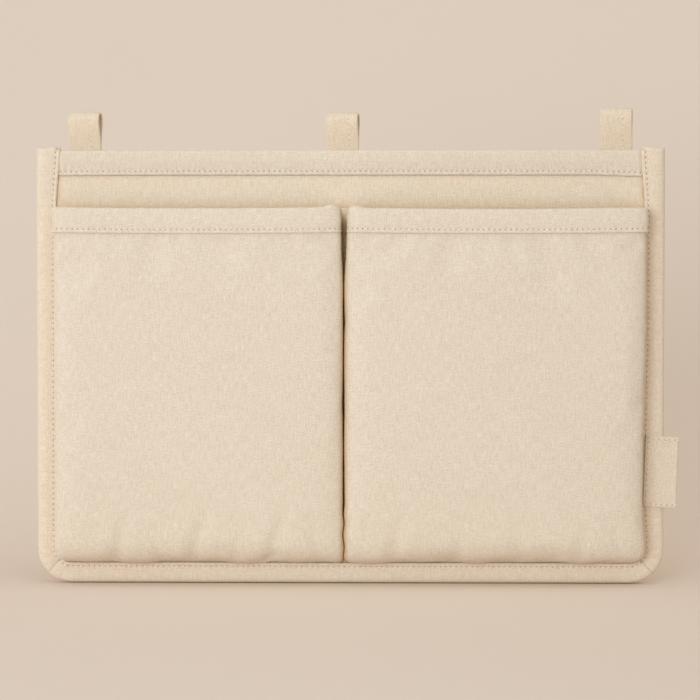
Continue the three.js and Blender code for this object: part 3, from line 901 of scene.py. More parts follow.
class CADDY_OT_panel(bpy.types.Operator):
    """Makes the front and back covers and the wadding between them"""

    bl_idname = "caddy.panel"
    bl_label = "Panel"

    def execute(self, context):
        settings = context.scene.caddy
        middle = (PAD_LOW[1] + PAD_HIGH[1]) / 2
        wadding = panel_points(middle, SIDE - PAD_HIGH[0], PAD_GRID, PAD_HIGH[2])
        full = 1.0 - SEAM_SQUEEZE * seam_dip(wadding)
        pad = cloth("panel_pad", wadding, PAD_HIGH[1] - PAD_LOW[1], look("wadding"), full)
        fasten(pad, "wadding", "panel", "panel_wadding")
        self.cover("front", COVER_LOW, COVER_HIGH, settings)
        self.cover("back", BACK_LOW, BACK_HIGH, settings)
        return {"FINISHED"}

    def cover(self, side, low, high, settings):
        """One cover of the panel, drawn in along the seams, with painted shade in its creases."""
        front = side == "front"
        inset = SIDE - COVER_HIGH[0]
        y = (low[1] + high[1]) / 2
        points = panel_points(y, inset, COVER_GRID, high[2])
        if not front:
            moves = self.settled(panel_points(y, inset, BACK_GRID, high[2]), settings)
            points += refine(BACK_SHARE * moves, *COVER_GRID)
        points[..., 1] += (1.0 if front else -1.0) * SEAM_SINK * seam_dip(points)
        crease = self.shade_in_creases(points, front, settings.sizes)
        # The front cover takes the lighter cover canvas, painted light that offsets the shade of the pockets
        # and the hem; both covers get painted shade in their creases
        tone = "cover_creased" if front else "canvas_creased"
        cover = cloth(f"{side}_cover_cloth", points, settings.sizes.canvas, look(tone), crease=crease)
        fasten(cover, "canvas", "panel", f"{side}_cover")
        declare_sheet(points)

    def settled(self, points, settings):
        """How the back cover moves as it settles, held under the hem and the binding."""
        x, z = np.abs(points[..., 0]), points[..., 2]
        lip = settings.sizes.binding_width + 2 * MM
        held = (x > SIDE - lip) | (z > HEM_LOW[2] - 2 * MM) | (z < BOTTOM + lip)
        return settle(points[:, ::-1], held[:, ::-1], settings.cloth)[:, ::-1]

    def shade_in_creases(self, points, front, sizes):
        """Painted shade in the creases along the hem and the bindings, and on the front painted shade behind
        the pockets.
        """
        x, z = points[..., 0], points[..., 2]
        left, right = (binding_inset(hand, z, sizes) for hand in (-1, 1))
        inner = np.where(x < 0, left, right)
        behind = smooth(POCKET_TOP + 9 * MM, POCKET_TOP - 2 * MM, z)
        behind = behind * smooth(POCKET_BASE + 2 * MM, POCKET_BASE + 12 * MM, z)
        return crease_shade_places(
            0.3 * smooth(HEM_LOW[2] - 2.5 * MM, HEM_LOW[2] - 0.5 * MM, z),
            0.6 * smooth(inner + 2.0 * MM, inner + 0.3 * MM, SIDE - np.abs(x)),
            0.7 * front * behind,
        )


# The top hem
class CADDY_OT_top_hem(bpy.types.Operator):
    """Makes the hem that is folded over the panel's upper edge, and its stitches"""

    bl_idname = "caddy.top_hem"
    bl_label = "Top hem"

    def execute(self, context):
        settings = context.scene.caddy
        sizes, sewing = settings.sizes, settings.sewing
        half = sizes.canvas / 2
        front, back = HEM_LOW[1] + half, HEM_HIGH[1] - half
        low, top = HEM_LOW[2], HEM_HIGH[2] - half
        radius = sizes.hem_round - half
        section = np.concatenate(
            [
                [(back, low)],
                arc(back - radius, top - radius, radius, 0.0, np.pi / 2),
                arc(front + radius, top - radius, radius, np.pi / 2, np.pi),
                [(front, low)],
            ]
        )
        section = even(section, 66)
        stitches = stitch_count(2 * (SIDE - sizes.binding_width), sewing)
        cols = 4 * stitches + 1
        height = section[:, 1]
        inner = [SIDE - binding_inset(hand, height, sizes) for hand in (-1, 1)]
        left, right = -inner[0] - sizes.hem_tuck_in, inner[1] + sizes.hem_tuck_in
        part = np.linspace(0.0, 1.0, cols)
        across = left[:, None] + np.outer(right - left, part)
        points = swept(section, across)
        run = run_along(section)
        from_front = run[-1] - run
        rise = sewn_fold(run, stitches, cols, sewing, puff=1.0, middle=8.5 * MM, width=4 * MM)
        points += normals_outward(points) * rise[..., None]
        under = np.maximum(
            smooth(-inner[0][:, None] + 1.5 * MM, -inner[0][:, None] - 0.4 * MM, across),
            smooth(inner[1][:, None] - 1.5 * MM, inner[1][:, None] + 0.4 * MM, across),
        )
        points -= normals_outward(points) * (1.1 * MM * under)[..., None]
        fade = smooth(HEM_HIGH[2] - 5 * MM, low, points[..., 2])
        right_droop = 0.9 * MM * smooth(SIDE - 50 * MM, SIDE - 14 * MM, across)
        left_droop = 0.25 * MM * smooth(-0.1, -0.19, across)
        points[..., 2] -= fade * (0.35 * MM + right_droop + left_droop)
        seam = seam_places(stitches * part[None, :], np.minimum(run, from_front)[:, None] - sewing.inset)
        hem = cloth("top_hem_band", points, sizes.canvas, look("canvas_sewn"), seam=seam)
        fasten(hem, "canvas", "panel", "top_hem")
        rows = []
        for distance, direction in ((from_front, FRONT), (run, BACK)):
            row = int(np.argmin(np.abs(distance - sewing.inset)))
            rows.append(seam_on_face(points, row, direction, sizes.canvas, stitches, sewing))
        thread = sew("top_hem_stitches", rows)
        fasten(thread, "thread", "panel", "top_hem_thread")
        declare_sheet(points)
        return {"FINISHED"}


# The binding
def binding_section(sizes):
    """The folded section of the binding as distances in from the edge and values of y, from front to back."""
    half = sizes.binding_canvas / 2
    middle = (BINDING_FRONT + BINDING_BACK) / 2
    radius = (BINDING_BACK - BINDING_FRONT) / 2
    through, out = fold(radius - half, sizes.blunt, 41)
    edge = np.stack([radius - out, middle + through], axis=1)
    front = (sizes.binding_width, middle - radius + half)
    back = (sizes.binding_width, middle + radius - half)
    return even(np.concatenate([[front], edge, [back]]), 52)


def edge_place(hand, station, inset, sizes):
    """The point of the bound edge at a station: a height on a side, or a turn round a bottom corner."""
    kind, value = station
    if kind == "side":
        return hand * (SIDE - inset), np.full_like(inset, value)
    radius = sizes.corner_radius - inset
    across = SIDE - sizes.corner_radius + radius * np.cos(value)
    return hand * across, BOTTOM + sizes.corner_radius - radius * np.sin(value)


class CADDY_OT_binding(bpy.types.Operator):
    """Makes the three folded strips round the panel's edge, and their stitches"""

    bl_idname = "caddy.binding"
    bl_label = "Binding"

    def execute(self, context):
        settings = context.scene.caddy
        sizes, sewing = settings.sizes, settings.sewing
        strips = {"left": self.side_strip(-1, sizes), "right": self.side_strip(1, sizes)}
        strips["bottom"] = self.bottom_strip(sizes)
        lower, upper, behind = [], [], []
        section = binding_section(sizes)
        run = run_along(section)
        for name, points in strips.items():
            from_back = run[-1] - run
            rows = [int(np.argmin(np.abs(distance - sewing.inset))) for distance in (run, from_back)]
            stitches = stitch_count(run_along(points[rows[0]])[-1], sewing)
            cols = 4 * stitches + 1
            points = even_columns(points, rows[0], cols)
            rise = sewn_fold(run, stitches, cols, sewing, puff=0.9, middle=7 * MM, width=3 * MM)
            ends = run_along(points[rows[0]])
            for distance in self.mitre_distances(name, ends):
                inner = smooth(11 * MM, 4 * MM, np.minimum(run, from_back))
                rise -= 0.9 * MM * np.outer(inner, hump(distance, 0.0, 1.3 * MM))
            rise *= self.end_fade(name, ends)[None, :]
            points += normals_outward(points) * rise[..., None]
            along = stitches * np.linspace(0.0, 1.0, cols)[None, :]
            if name != "bottom":
                along = np.maximum(along, 1.5)
            seam = seam_places(along, np.minimum(run, from_back)[:, None] - sewing.inset)
            thickness = sizes.binding_canvas
            strip = cloth(f"{name}_binding_strip", points, thickness, look("binding_sewn"), seam=seam)
            fasten(strip, "binding_canvas", "panel", f"binding_{name}")
            declare_sheet(points)
            front = seam_on_face(points, rows[0], FRONT, thickness, stitches, sewing)
            back = seam_on_face(points, rows[1], BACK, thickness, stitches, sewing)
            behind.append(trimmed(back, BOTTOM, BINDING_TOP - 2 * MM))
            if name == "right":
                upper.append(trimmed(front, LABEL_HIGH[2] + MM, BINDING_TOP - 2 * MM))
                lower.append(trimmed(front, BOTTOM, LABEL_LOW[2] - MM))
            else:
                lower.append(trimmed(front, BOTTOM, BINDING_TOP - 2 * MM))
        fasten(sew("binding_stitches_lower", lower), "thread", "panel", "binding_thread_lower")
        fasten(sew("binding_stitches_upper", upper), "thread", "panel", "binding_thread_upper")
        fasten(sew("binding_stitches_back", behind), "thread", "panel")
        return {"FINISHED"}

    def side_strip(self, hand, sizes):
        """A grid round the fold of a side strip, from its closed top end down to the mitre."""
        section = binding_section(sizes)
        middle = (BINDING_FRONT + BINDING_BACK) / 2
        foot = BOTTOM + sizes.corner_radius
        cap, crown, shoulder = 1.2 * MM, 0.6 * MM, BINDING_TOP - 3 * MM
        columns = []
        nearly_shut = (0.03, 0.1, 0.2, 0.4, 0.6)
        stations = [("side", BINDING_TOP + crown * (1 - width), width) for width in nearly_shut]
        for angle in np.linspace(0.0, np.pi / 2, 6):
            width = 0.755 + 0.245 * math.sin(angle)
            top = BINDING_TOP + crown * (1 - width)
            stations.append(("side", top - cap * (1 - math.cos(angle)), width))
        stations += [("side", height, 1.0) for height in np.linspace(BINDING_TOP - cap, shoulder, 6)[1:]]
        stations += [("side", height, 1.0) for height in np.linspace(shoulder, foot, 60)[1:]]
        stations += [("turn", angle, 1.0) for angle in np.linspace(0.0, np.pi / 4, 9)[1:]]
        for kind, value, width in stations:
            height = value if kind == "side" else foot
            stretch = binding_inset(hand, height, sizes) / sizes.binding_width
            inset = section[:, 0] * stretch
            x, z = edge_place(hand, (kind, value), inset, sizes)
            inward = inset / inset.max()
            slope = sizes.binding_slope * smooth(foot, BINDING_TOP, height) * (inward - 0.6)
            pinch = smooth(HEM_HIGH[2] - 0.9 * MM, HEM_HIGH[2], height + slope) * smooth(0.75, 0.97, inward)
            y = middle + (section[:, 1] - middle) * np.maximum(width * (1.0 - pinch), min(width, 0.13))
            columns.append(np.stack([x, y, z + slope], axis=1))
        return np.stack(columns, axis=1)

    def bottom_strip(self, sizes):
        """A grid round the fold of the bottom strip, from mitre to mitre."""
        section = binding_section(sizes)
        turns = np.linspace(np.pi / 4, np.pi / 2, 9)
        stations = [(-1, angle) for angle in turns] + [(1, angle) for angle in turns[::-1]]
        columns = []
        for hand, angle in stations:
            x, z = edge_place(hand, ("turn", angle), section[:, 0], sizes)
            columns.append(np.stack([x, section[:, 1], z], axis=1))
        return np.stack(columns, axis=1)

    def mitre_distances(self, name, run):
        """The distance along a strip to each of its mitres."""
        return [run[-1] - run] if name != "bottom" else [run, run[-1] - run]

    def end_fade(self, name, run):
        """0 at a closed top end, where the section folds shut, and 1 along the rest of a strip."""
        return np.ones_like(run) if name == "bottom" else smooth(4.5 * MM, 7 * MM, run)


# The pockets: how late the foot turns in towards its seam, and how full it is there
FOOT_TURN, FOOT_FULLNESS = 3.8, 0.4
# How far from the gap a pocket's side shifts, and how far from its seam it does so in full
GAP_REACH, GAP_SEAM = 16 * MM, 5 * MM
# Rows and columns of a pocket's cloth, of the layers behind it and of the sheet that settles
POCKET_GRID, INNER_GRID, SETTLE_GRID = (124, 120), (80, 90), (62, 60)


class Pocket:
    """One pocket: its sides, lower corners and the side where the other pocket lies."""

    def __init__(self, name, sizes):
        low, high = corners(f"{name}_pocket_front")
        outer = sizes.corner_radius - (SIDE - max(abs(low[0]), abs(high[0])))
        self.name = name
        self.left, self.right = low[0], high[0]
        self.gap_hand = 1 if name == "left" else -1
        self.radii = (outer, sizes.inner_corner)[:: self.gap_hand]
        self.gap_x = self.right if name == "left" else self.left
        self.sizes = sizes
        self.moves = None

    def depth(self, height, inset):
        """How far a layer of the pocket stands out from the panel at a height."""
        sizes = self.sizes
        above = height - POCKET_BASE - max(inset, 0.0)
        belly = math.sin(math.pi * np.clip((height - POCKET_BASE) / (POCKET_TOP - POCKET_BASE), 0.0, 1.0))
        foot = min(max(1.0 - above / sizes.foot_height, 0.0), 1.0)
        swell = (1.0 - foot**FOOT_TURN) ** FOOT_FULLNESS
        return swell * (sizes.mouth_depth + (sizes.belly_depth - sizes.mouth_depth) * belly - inset)

    def plan(self, height, inset, count):
        """The line of the pocket's cloth at one height, from its left seam round to its right seam."""
        above = max(height - POCKET_BASE - max(inset, 0.0), 0.0)
        left = self.left + inset + corner_cut(above, self.radii[0])
        right = self.right - inset - corner_cut(above, self.radii[1])
        angles = np.pi * (0.5 + 0.5 * np.cos(np.pi * np.linspace(0.0, 1.0, 401)))
        wide = np.cos(angles)
        squareness = 2 / self.sizes.pocket_blunt
        x = (left + right) / 2 + (right - left) / 2 * np.sign(wide) * np.abs(wide) ** squareness
        y = POCKET_PLANE - self.depth(height, inset) * np.abs(np.sin(angles)) ** squareness
        flat = even(np.stack([x, y], axis=1), count)
        return np.column_stack([flat, np.full(count, height)])

    def layer(self, inset, rows, cols):
        """A grid over one layer of the pocket, from its bottom seam up into the hem."""
        base = POCKET_BASE + max(inset, 0.0)
        rough = base + (LAYER_TOP - base) * np.linspace(0.0, 1.0, 401) ** 2
        profile = np.array([(self.depth(height, inset), height) for height in rough])
        heights = even(profile, rows)[:, 1]
        return np.stack([self.plan(height, inset, cols) for height in heights])

    def shaped(self, points, hem=False):
        """Points of the pocket with its mouth, its side at the gap and its lower edge as they were sewn."""
        x, y, z = points[..., 0], points[..., 1], points[..., 2]
        shift = self.gap_shift(x, y, z, hem)
        if self.name == "right":
            shift = shift - right_drift(z, self.sizes) * smooth(self.right - 40 * MM, self.right, x)
        return np.stack([x + shift, y, z + self.mouth_rise(x, z) + self.foot_wave(x, z)], axis=-1)

    def gap_shift(self, x, y, z, hem):
        """How far the side at the gap moves across: drawn in at the hem, swelling and wavy below it."""
        sizes = self.sizes
        near_gap = 1.0 - smooth(0.0, GAP_REACH, np.abs(x - self.gap_x))
        near_gap = near_gap * smooth(0.0, GAP_SEAM, POCKET_PLANE - y)
        below = 0.0 if hem else smooth(POCKET_HEM_LOW + 3 * MM, POCKET_HEM_LOW - 0.5 * MM, z)
        belly = 0.25 + 0.75 * smooth(POCKET_HEM_LOW, POCKET_HEM_LOW - 40 * MM, z)
        belly = belly * (0.93 + 0.04 * np.sin(z / (9 * MM)))
        above = z - POCKET_BASE
        low = smooth(45 * MM, 25 * MM, above) * smooth(0.0, 8 * MM, above)
        jog = 0.4 * MM * np.sin(above / (2.4 * MM)) * low
        drift = sizes.gap_drift * (1.3 - 0.6 * (above / (POCKET_TOP - POCKET_BASE))) + jog
        swell = sizes.gap_swell - self.gap_hand * drift
        return self.gap_hand * near_gap * (swell * belly * below - sizes.hem_tuck * (1.0 - below))

    def mouth_rise(self, x, z):
        """How far the mouth stands above the frame's: sagging in its middle, thick beside the gap."""
        sizes = self.sizes
        part = (x - self.left) / (self.right - self.left)
        sag = sizes.mouth_sag * 4 * part * (1 - part)
        bump = sizes.mouth_bump * hump(x, self.gap_x - self.gap_hand * 5 * MM, 4 * MM)
        lift = bump + sizes.mouth_lift * (1.0 if self.name == "left" else 0.4)
        rise = smooth(POCKET_HEM_LOW, POCKET_TOP, z) * lift
        return rise - smooth(POCKET_HEM_LOW - 30 * MM, POCKET_TOP, z) * sag

    def foot_wave(self, x, z):
        """How far the pocket's lower edge waves up and down."""
        along = (x - self.left) * self.gap_hand
        wave = 0.4 * np.sin(along / (11 * MM)) + 0.25 * np.sin(along / (5.3 * MM) + 1.0)
        return wave * MM * smooth(POCKET_BASE + 26 * MM, POCKET_BASE, z)


# Soft folds that rise from the bottom seams: across from the pocket's left side, height above the seam,
# lean to the right, length, width and depth. Lengths in millimetres, the lean in degrees.
PUCKERS = {
    "left": (
        (41, 13, 14, 17, 6, 1.1),
        (90, 14, 16, 19, 7, 1.2),
        (139, 13, 18, 18, 6.5, 1.1),
        (66, 9, -8, 10, 5, 0.5),
        (115, 9, 10, 11, 5, 0.5),
        (165, 12, -14, 14, 6, 0.7),
    ),
    "right": (
        (30, 14, 14, 17, 6.5, 0.9),
        (70, 10, 10, 14, 6, 0.6),
        (108, 12, -10, 15, 7, 0.6),
        (147, 11, 12, 13, 6, 0.6),
        (170, 13, -16, 13, 5.5, 0.6),
    ),
}


PUCKER_SCALE = 1.35


def pucker_depth(pocket, points):
    """How deep the folds above the bottom seam press the pocket's front in."""
    depth = np.zeros(points.shape[:2])
    for across, height, lean, length_mm, width, deep in PUCKERS[pocket.name]:
        dx = points[..., 0] - pocket.left - across * MM
        dz = points[..., 2] - POCKET_BASE - height * MM
        angle = math.radians(lean)
        along = (dx * math.sin(angle) + dz * math.cos(angle)) / (length_mm * MM)
        beside = (dx * math.cos(angle) - dz * math.sin(angle)) / (width * MM)
        depth += PUCKER_SCALE * deep * MM * (1 - 1.1 * beside**2) * np.exp(-(along**2) - beside**2)
    return depth * smooth(POCKET_BASE, POCKET_BASE + 5 * MM, points[..., 2])


class CADDY_OT_pockets(bpy.types.Operator):
    """Makes the two padded pockets with their linings, hems and stitches"""

    bl_idname = "caddy.pockets"
    bl_label = "Pockets"

    def execute(self, context):
        settings = context.scene.caddy
        for name in ("left", "right"):
            pocket = Pocket(name, settings.sizes)
            pocket.moves = self.settle_front(pocket, settings)
            self.layers(pocket, settings)
            self.hem(pocket, settings)
        return {"FINISHED"}

    def attach(self, pocket, piece, slot, *nodes):
        """Bakes a piece of the pocket into place, and hides the frame's parts that it stands for."""
        start = (0.0, POCKET_PLANE, 0.0)
        end = (0.0, POCKET_PLANE - 0.85 * pocket.sizes.mouth_depth, 0.0)
        bend_with(piece, slot, start, end, ("panel", f"{pocket.name}_pocket"), *nodes)

    def settle_front(self, pocket, settings):
        """How the front cloth moves as it settles over its wadding, held at its seams and its hem."""
        points = pocket.shaped(pocket.layer(settings.sizes.canvas / 2, *SETTLE_GRID))
        held = points[..., 2] > POCKET_HEM_LOW - MM
        held[0] = held[:, 0] = held[:, -1] = True
        return settle(points, held, settings.cloth)

    def layer_points(self, pocket, inset, grid):
        """A grid over one layer of a pocket, settled and pressed in by the folds above the bottom seam."""
        points = pocket.shaped(pocket.layer(inset, *grid))
        points += refine(pocket.moves, *grid)
        return points - normals_outward(points) * pucker_depth(pocket, points)[..., None]

    def layers(self, pocket, settings):
        """The pocket's cloth, its wadding and its lining."""
        sizes = settings.sizes
        name = f"{pocket.name}_pocket"
        front = self.layer_points(pocket, sizes.canvas / 2, POCKET_GRID)
        up = run_along(front[:, front.shape[1] // 2])[:, None]
        side = run_along(front[front.shape[0] // 2])
        side = (side if pocket.gap_hand > 0 else side[-1] - side)[None, :]
        # Painted shade: the front cloth is darkened beside the gap between the pockets, just above its bottom
        # seam and along its outer side seam
        crease = crease_shade_places(
            smooth(3.5 * MM, 0.9 * MM, np.abs(front[..., 0] - CENTRE_X)),
            0.4 * smooth(6.5 * MM, 2.0 * MM, up),
            smooth(4.0 * MM, 1.0 * MM, side),
        )
        face = cloth(f"{name}_cloth", front, sizes.canvas, look("canvas_creased"), crease=crease)
        gussets = [f"{name}_outer_gusset", f"{name}_inner_gusset"]
        self.attach(pocket, face, "canvas", f"{name}_front", *gussets)
        declare_sheet(front)
        wadding = self.layer_points(pocket, sizes.wadding_inset, INNER_GRID)[:, 6:-6]
        pad = cloth(f"{name}_pad", wadding, sizes.pocket_wadding, look("wadding"))
        self.attach(pocket, pad, "wadding", f"{name}_wadding")
        lining = self.layer_points(pocket, sizes.lining_inset, INNER_GRID)
        inside = cloth(f"{name}_lining_cloth", lining, sizes.canvas, look("lining_weave"))
        self.attach(pocket, inside, "lining", f"{name}_lining")
        declare_sheet(lining)

    def hem(self, pocket, settings):
        """The hem band that is folded over the pocket's mouth, and its stitches."""
        sizes, sewing = settings.sizes, settings.sewing
        name = f"{pocket.name}_pocket"
        radius = POCKET_TOP - LAYER_TOP - sizes.canvas / 2
        middle = (sizes.lining_inset + sizes.canvas / 2) / 2
        through, out = fold(radius, sizes.blunt, 41)
        edge = np.stack([middle + through, LAYER_TOP + out], axis=1)
        ends = ((middle - radius, POCKET_HEM_LOW), (middle + radius, POCKET_HEM_LOW))
        section = even(np.concatenate([ends[:1], edge, ends[1:]]), 58)
        rough = pocket.plan(POCKET_HEM_LOW, 0.0, 400)
        stitches = stitch_count(run_along(rough)[-1], sewing)
        cols = 4 * stitches + 1
        points = np.stack([pocket.plan(height, inset, cols) for inset, height in section])
        points = pocket.shaped(points, hem=True)
        run = run_along(section)
        rise = sewn_fold(run, stitches, cols, sewing, puff=0.6, middle=8 * MM, width=3.5 * MM)
        facing = normals(points)
        facing = facing if np.sum(facing[run < 8 * MM] @ FRONT) > 0 else -facing
        points += facing * rise[..., None]
        along = stitches * np.linspace(0.0, 1.0, cols)[None, :]
        seam = seam_places(along, np.minimum(run, run[-1] - run)[:, None] - sewing.inset)
        hem = cloth(f"{name}_hem_band", points, sizes.canvas, look("canvas_sewn"), seam=seam)
        self.attach(pocket, hem, "canvas", f"{name}_hem")
        row = int(np.argmin(np.abs(run - sewing.inset)))
        line = seam_on_face(points, row, FRONT, sizes.canvas, stitches, sewing)
        thread = sew(f"{name}_hem_stitches", [line])
        self.attach(pocket, thread, "thread", f"{name}_hem_thread")
        declare_sheet(points)


# The strip between the pockets
class CADDY_OT_centre_strip(bpy.types.Operator):
    """Makes the sewn-down strip of cloth between the pockets, and its stitches"""

    bl_idname = "caddy.centre_strip"
    bl_label = "Centre strip"

    def execute(self, context):
        settings = context.scene.caddy
        sizes, sewing = settings.sizes, settings.sewing
        stitches = stitch_count(STRIP_HIGH[2] - STRIP_LOW[2], sewing)
        rows = 4 * stitches + 1
        part = np.sin(np.pi / 2 * np.linspace(-1.0, 1.0, 21))
        heights = np.linspace(STRIP_LOW[2], STRIP_HIGH[2], rows)
        across, z = np.meshgrid(part, heights)
        mouth = smooth(POCKET_HEM_LOW, POCKET_TOP, z)
        x = CENTRE_X + across * (STRIP_HIGH[0] - CENTRE_X) * (1.0 + 0.55 * mouth)
        dip = flat_dip(x - CENTRE_X, 0.7 * MM, stitches) * (1.0 - mouth)
        hem = 1.2 * MM * smooth(POCKET_HEM_LOW - 0.5 * MM, POCKET_HEM_LOW + 0.5 * MM, z)
        forward = (sizes.strip_fold * mouth + hem) * (1.0 - np.abs(across) ** 10)
        y = np.full_like(x, (STRIP_LOW[1] + STRIP_HIGH[1]) / 2) + dip - forward
        points = np.dstack([x, y, z])
        # Painted shade: the strip between the pockets is darkened below the pockets' mouths, where it lies
        # deep in the gap
        crease = crease_shade_places(1.0 - 0.7 * mouth)
        strip = cloth("centre_strip_cloth", points, sizes.canvas, look("canvas_creased"), crease=crease)
        fasten(strip, "canvas", "panel", "centre_strip")
        sewn = points[heights < POCKET_HEM_LOW - 3 * MM].swapaxes(0, 1)
        stitches = stitch_count(np.ptp(sewn[..., 2]), sewing)
        seam = seam_on_face(sewn, len(part) // 2, FRONT, sizes.canvas, stitches, sewing)
        thread = sew("centre_seam_stitches", [seam])
        fasten(thread, "thread", "panel", "centre_seam_thread")
        declare_sheet(points)
        return {"FINISHED"}


# The hanging loops: how much taller than the frame's loop each one stands, and its share of the twist
LOOPS = {"left": (0.1 * MM, 1.1), "middle": (-0.4 * MM, 1.0), "right": (2.4 * MM, 1.0)}


class CADDY_OT_loops(bpy.types.Operator):
    """Makes the three straps that are folded into loops and sewn behind the top hem"""

    bl_idname = "caddy.loops"
    bl_label = "Loops"

    def execute(self, context):
        settings = context.scene.caddy
        sizes, sewing = settings.sizes, settings.sewing
        for name, (taller, twist) in LOOPS.items():
            low, high = corners(f"{name}_loop")
            middle, half = (low[0] + high[0]) / 2, (high[0] - low[0]) / 2
            path = self.path(sizes, taller)
            stitches = stitch_count(run_along(path)[-1], sewing)
            path = even(path, 4 * stitches + 1)
            across = np.linspace(-half, half, 25)
            x, y, z = np.moveaxis(swept(path, across), -1, 0)
            up = smooth(LOOP_BEND, LOOP_TOP - 6 * MM, z)
            z = z - 0.9 * MM * (np.abs(x) / half) ** 6 * smooth(LOOP_TOP - 5 * MM, LOOP_TOP, z)
            angle = -sizes.loop_twist * twist * up
            turned_x = x * np.cos(angle) - y * np.sin(angle)
            turned_y = x * np.sin(angle) + y * np.cos(angle)
            points = np.dstack([middle + turned_x, turned_y, z])
            row = int(np.argmin(np.abs(across - 0.45 * half)))
            facing = normals_outward(points)
            points -= facing * flat_dip(x - across[row], 0.8 * MM, stitches)[..., None]
            seam = seam_places(stitches * np.linspace(0.0, 1.0, len(path))[:, None], x - across[row])
            strap = cloth(f"{name}_strap", points, sizes.strap, look("strap_sewn"), seam=seam)
            start, end = ((middle, 0.0, LOOP_BEND + way * 3 * MM) for way in (-1, 1))
            bodies = ("panel", f"{name}_hanger")
            bend_with(strap, "strap", start, end, bodies, f"{name}_loop", f"{name}_loop_tail")
            line = points[:, row] + facing[:, row] * sizes.strap / 2
            seam = sew(f"{name}_strap_stitches", [(line[2:-2], facing[2:-2, row], stitches)])
            bend_with(seam, "thread", start, end, bodies)
            tail = sew(f"{name}_tail_stitches", [self.tail_row(name, middle, half, sizes, sewing)])
            fasten(tail, "thread", "panel", f"{name}_loop_thread")
            declare_sheet(points)
        return {"FINISHED"}

    def path(self, sizes, taller):
        """The strap's way from its front end up round the eye and down to its back end, in y and z."""
        flat = sizes.strap / 2 + 0.15 * MM
        round_radius = 4.75 * MM
        round_height = LOOP_TOP - sizes.strap / 2 - round_radius + taller
        heights = np.linspace(LOOP_BEND, round_height, 24)
        wide = flat + (round_radius - flat) * smooth(LOOP_BEND - MM, round_height, heights)
        front = [(-flat, LOOP_TAIL_LOW), *zip(-wide, heights)]
        crown = arc(0.0, round_height, round_radius, np.pi, 0.0, 25)[1:-1]
        back = [*zip(wide[::-1], heights[::-1]), (flat, LOOP_TAIL_LOW)]
        return np.array([*front, *crown, *back])

    def tail_row(self, name, middle, half, sizes, sewing):
        """The row of stitches that holds a loop's tail to the back of the hem."""
        low, high = corners(f"{name}_loop_thread")
        span = half - sewing.inset
        x = np.linspace(middle - span, middle + span, 20)
        y = np.full_like(x, sizes.strap + 0.2 * MM)
        line = np.stack([x, y, np.full_like(x, (low[2] + high[2]) / 2)], axis=1)
        return line, np.tile(BACK, (20, 1)), stitch_count(2 * span, sewing)


# The label
class CADDY_OT_label(bpy.types.Operator):
    """Makes the bare folded tape that is sewn over the right binding, and its stitches"""

    bl_idname = "caddy.label"
    bl_label = "Label"

    def execute(self, context):
        settings = context.scene.caddy
        sizes, sewing = settings.sizes, settings.sewing
        middle = (LABEL_LOW[1] + LABEL_HIGH[1]) / 2
        apart = (LABEL_HIGH[1] - LABEL_LOW[1] - sizes.tape) / 2
        fold_x = LABEL_HIGH[0] - apart - sizes.tape / 2
        sewn = LABEL_SEWN - sizes.label_lap
        path = np.concatenate(
            [
                [(sewn, middle - apart)],
                arc(fold_x, middle, apart, -np.pi / 2, np.pi / 2, 9),
                [(sewn, middle + apart)],
            ]
        )
        path = even(path, 91)
        heights = np.linspace(LABEL_LOW[2], LABEL_HIGH[2], 61)
        x, y, z = np.broadcast_arrays(path[:, 0], path[:, 1], heights[:, None])
        points = self.hung(np.dstack([x, y, z]), sizes)
        column, edge = sewn + 1.5 * MM, 1.8 * MM
        rows = (LABEL_LOW[2] + edge, LABEL_HIGH[2] - edge)
        above, below = (z - row for row in rows)
        nearest = np.where(np.abs(above) < np.abs(below), above, below)
        upright = np.abs(x - column) < np.abs(nearest)
        along = np.where(upright, z - LABEL_LOW[2], x - column) / sewing.pitch
        seam = seam_places(along, np.where(upright, x - column, nearest))
        tape = cloth("label_tape_fold", points, sizes.tape, look("tape_sewn"), seam=seam)
        hinge = joint_place("label_lift")
        start, end = ((hinge[0] + way * 1.2 * MM, hinge[1], hinge[2]) for way in (-1, 1))
        bend_with(tape, "label_tape", start, end, ("panel", "label"), "label_sewn_end", "label_flag")
        front = LABEL_LOW[1] - 0.1 * sewing.thread
        rise = LABEL_LOW[2] + np.arange(0.5, (LABEL_HIGH[2] - LABEL_LOW[2]) / sewing.pitch) * sewing.pitch
        upright = self.row(np.full_like(rise, column), front, rise, sizes)
        fasten(sew("label_stitches", [upright]), "thread", "panel", "label_thread")
        run = column + np.arange(1.5, (LABEL_HIGH[0] - column) / sewing.pitch) * sewing.pitch
        lines = [self.row(run, front, np.full_like(run, row), sizes) for row in rows]
        hems = sew("label_edge_stitches", lines)
        fasten(hems, "thread", "label")
        declare_sheet(points)
        return {"FINISHED"}

    def hung(self, points, sizes):
        """Points of the flat label, turned clockwise on its sewn end and curling at its free end."""
        x, y, z = points[..., 0], points[..., 1], points[..., 2]
        out, up = x - LABEL_SEWN, z - (LABEL_LOW[2] + LABEL_HIGH[2]) / 2
        cos, sin = math.cos(sizes.label_tilt), math.sin(sizes.label_tilt)
        curl = sizes.label_curl * (np.maximum(out, 0.0) / (LABEL_HIGH[0] - LABEL_SEWN)) ** 2
        return np.stack([x + (cos - 1) * out + sin * up, y - curl, z - sin * out + (cos - 1) * up], axis=-1)

    def row(self, x, y, z, sizes):
        """A row of stitches on the label, with one stitch at each of its points."""
        line = self.hung(np.stack([x, np.full_like(x, y), z], axis=-1), sizes)
        return line, np.tile(FRONT, (len(line), 1)), len(line)


# The studio: where the lamps hang, seen from the middle of the caddy, how wide they are and their tints
KEY_PLACE, KEY_SIZE, KEY_TINT = (-0.62, -1.92, 0.25), 0.55, (0.76, 0.87, 0.985)
SOFT_LAMPS = {
    "top": ((0.1, -0.5, 1.85), 1.5, (1.0, 0.95, 0.86)),
    "side": ((-2.1, -0.3, 0.1), 1.0, (0.9, 0.94, 1.0)),
}
SKY_TINT = (1.0, 0.985, 0.95, 1.0)


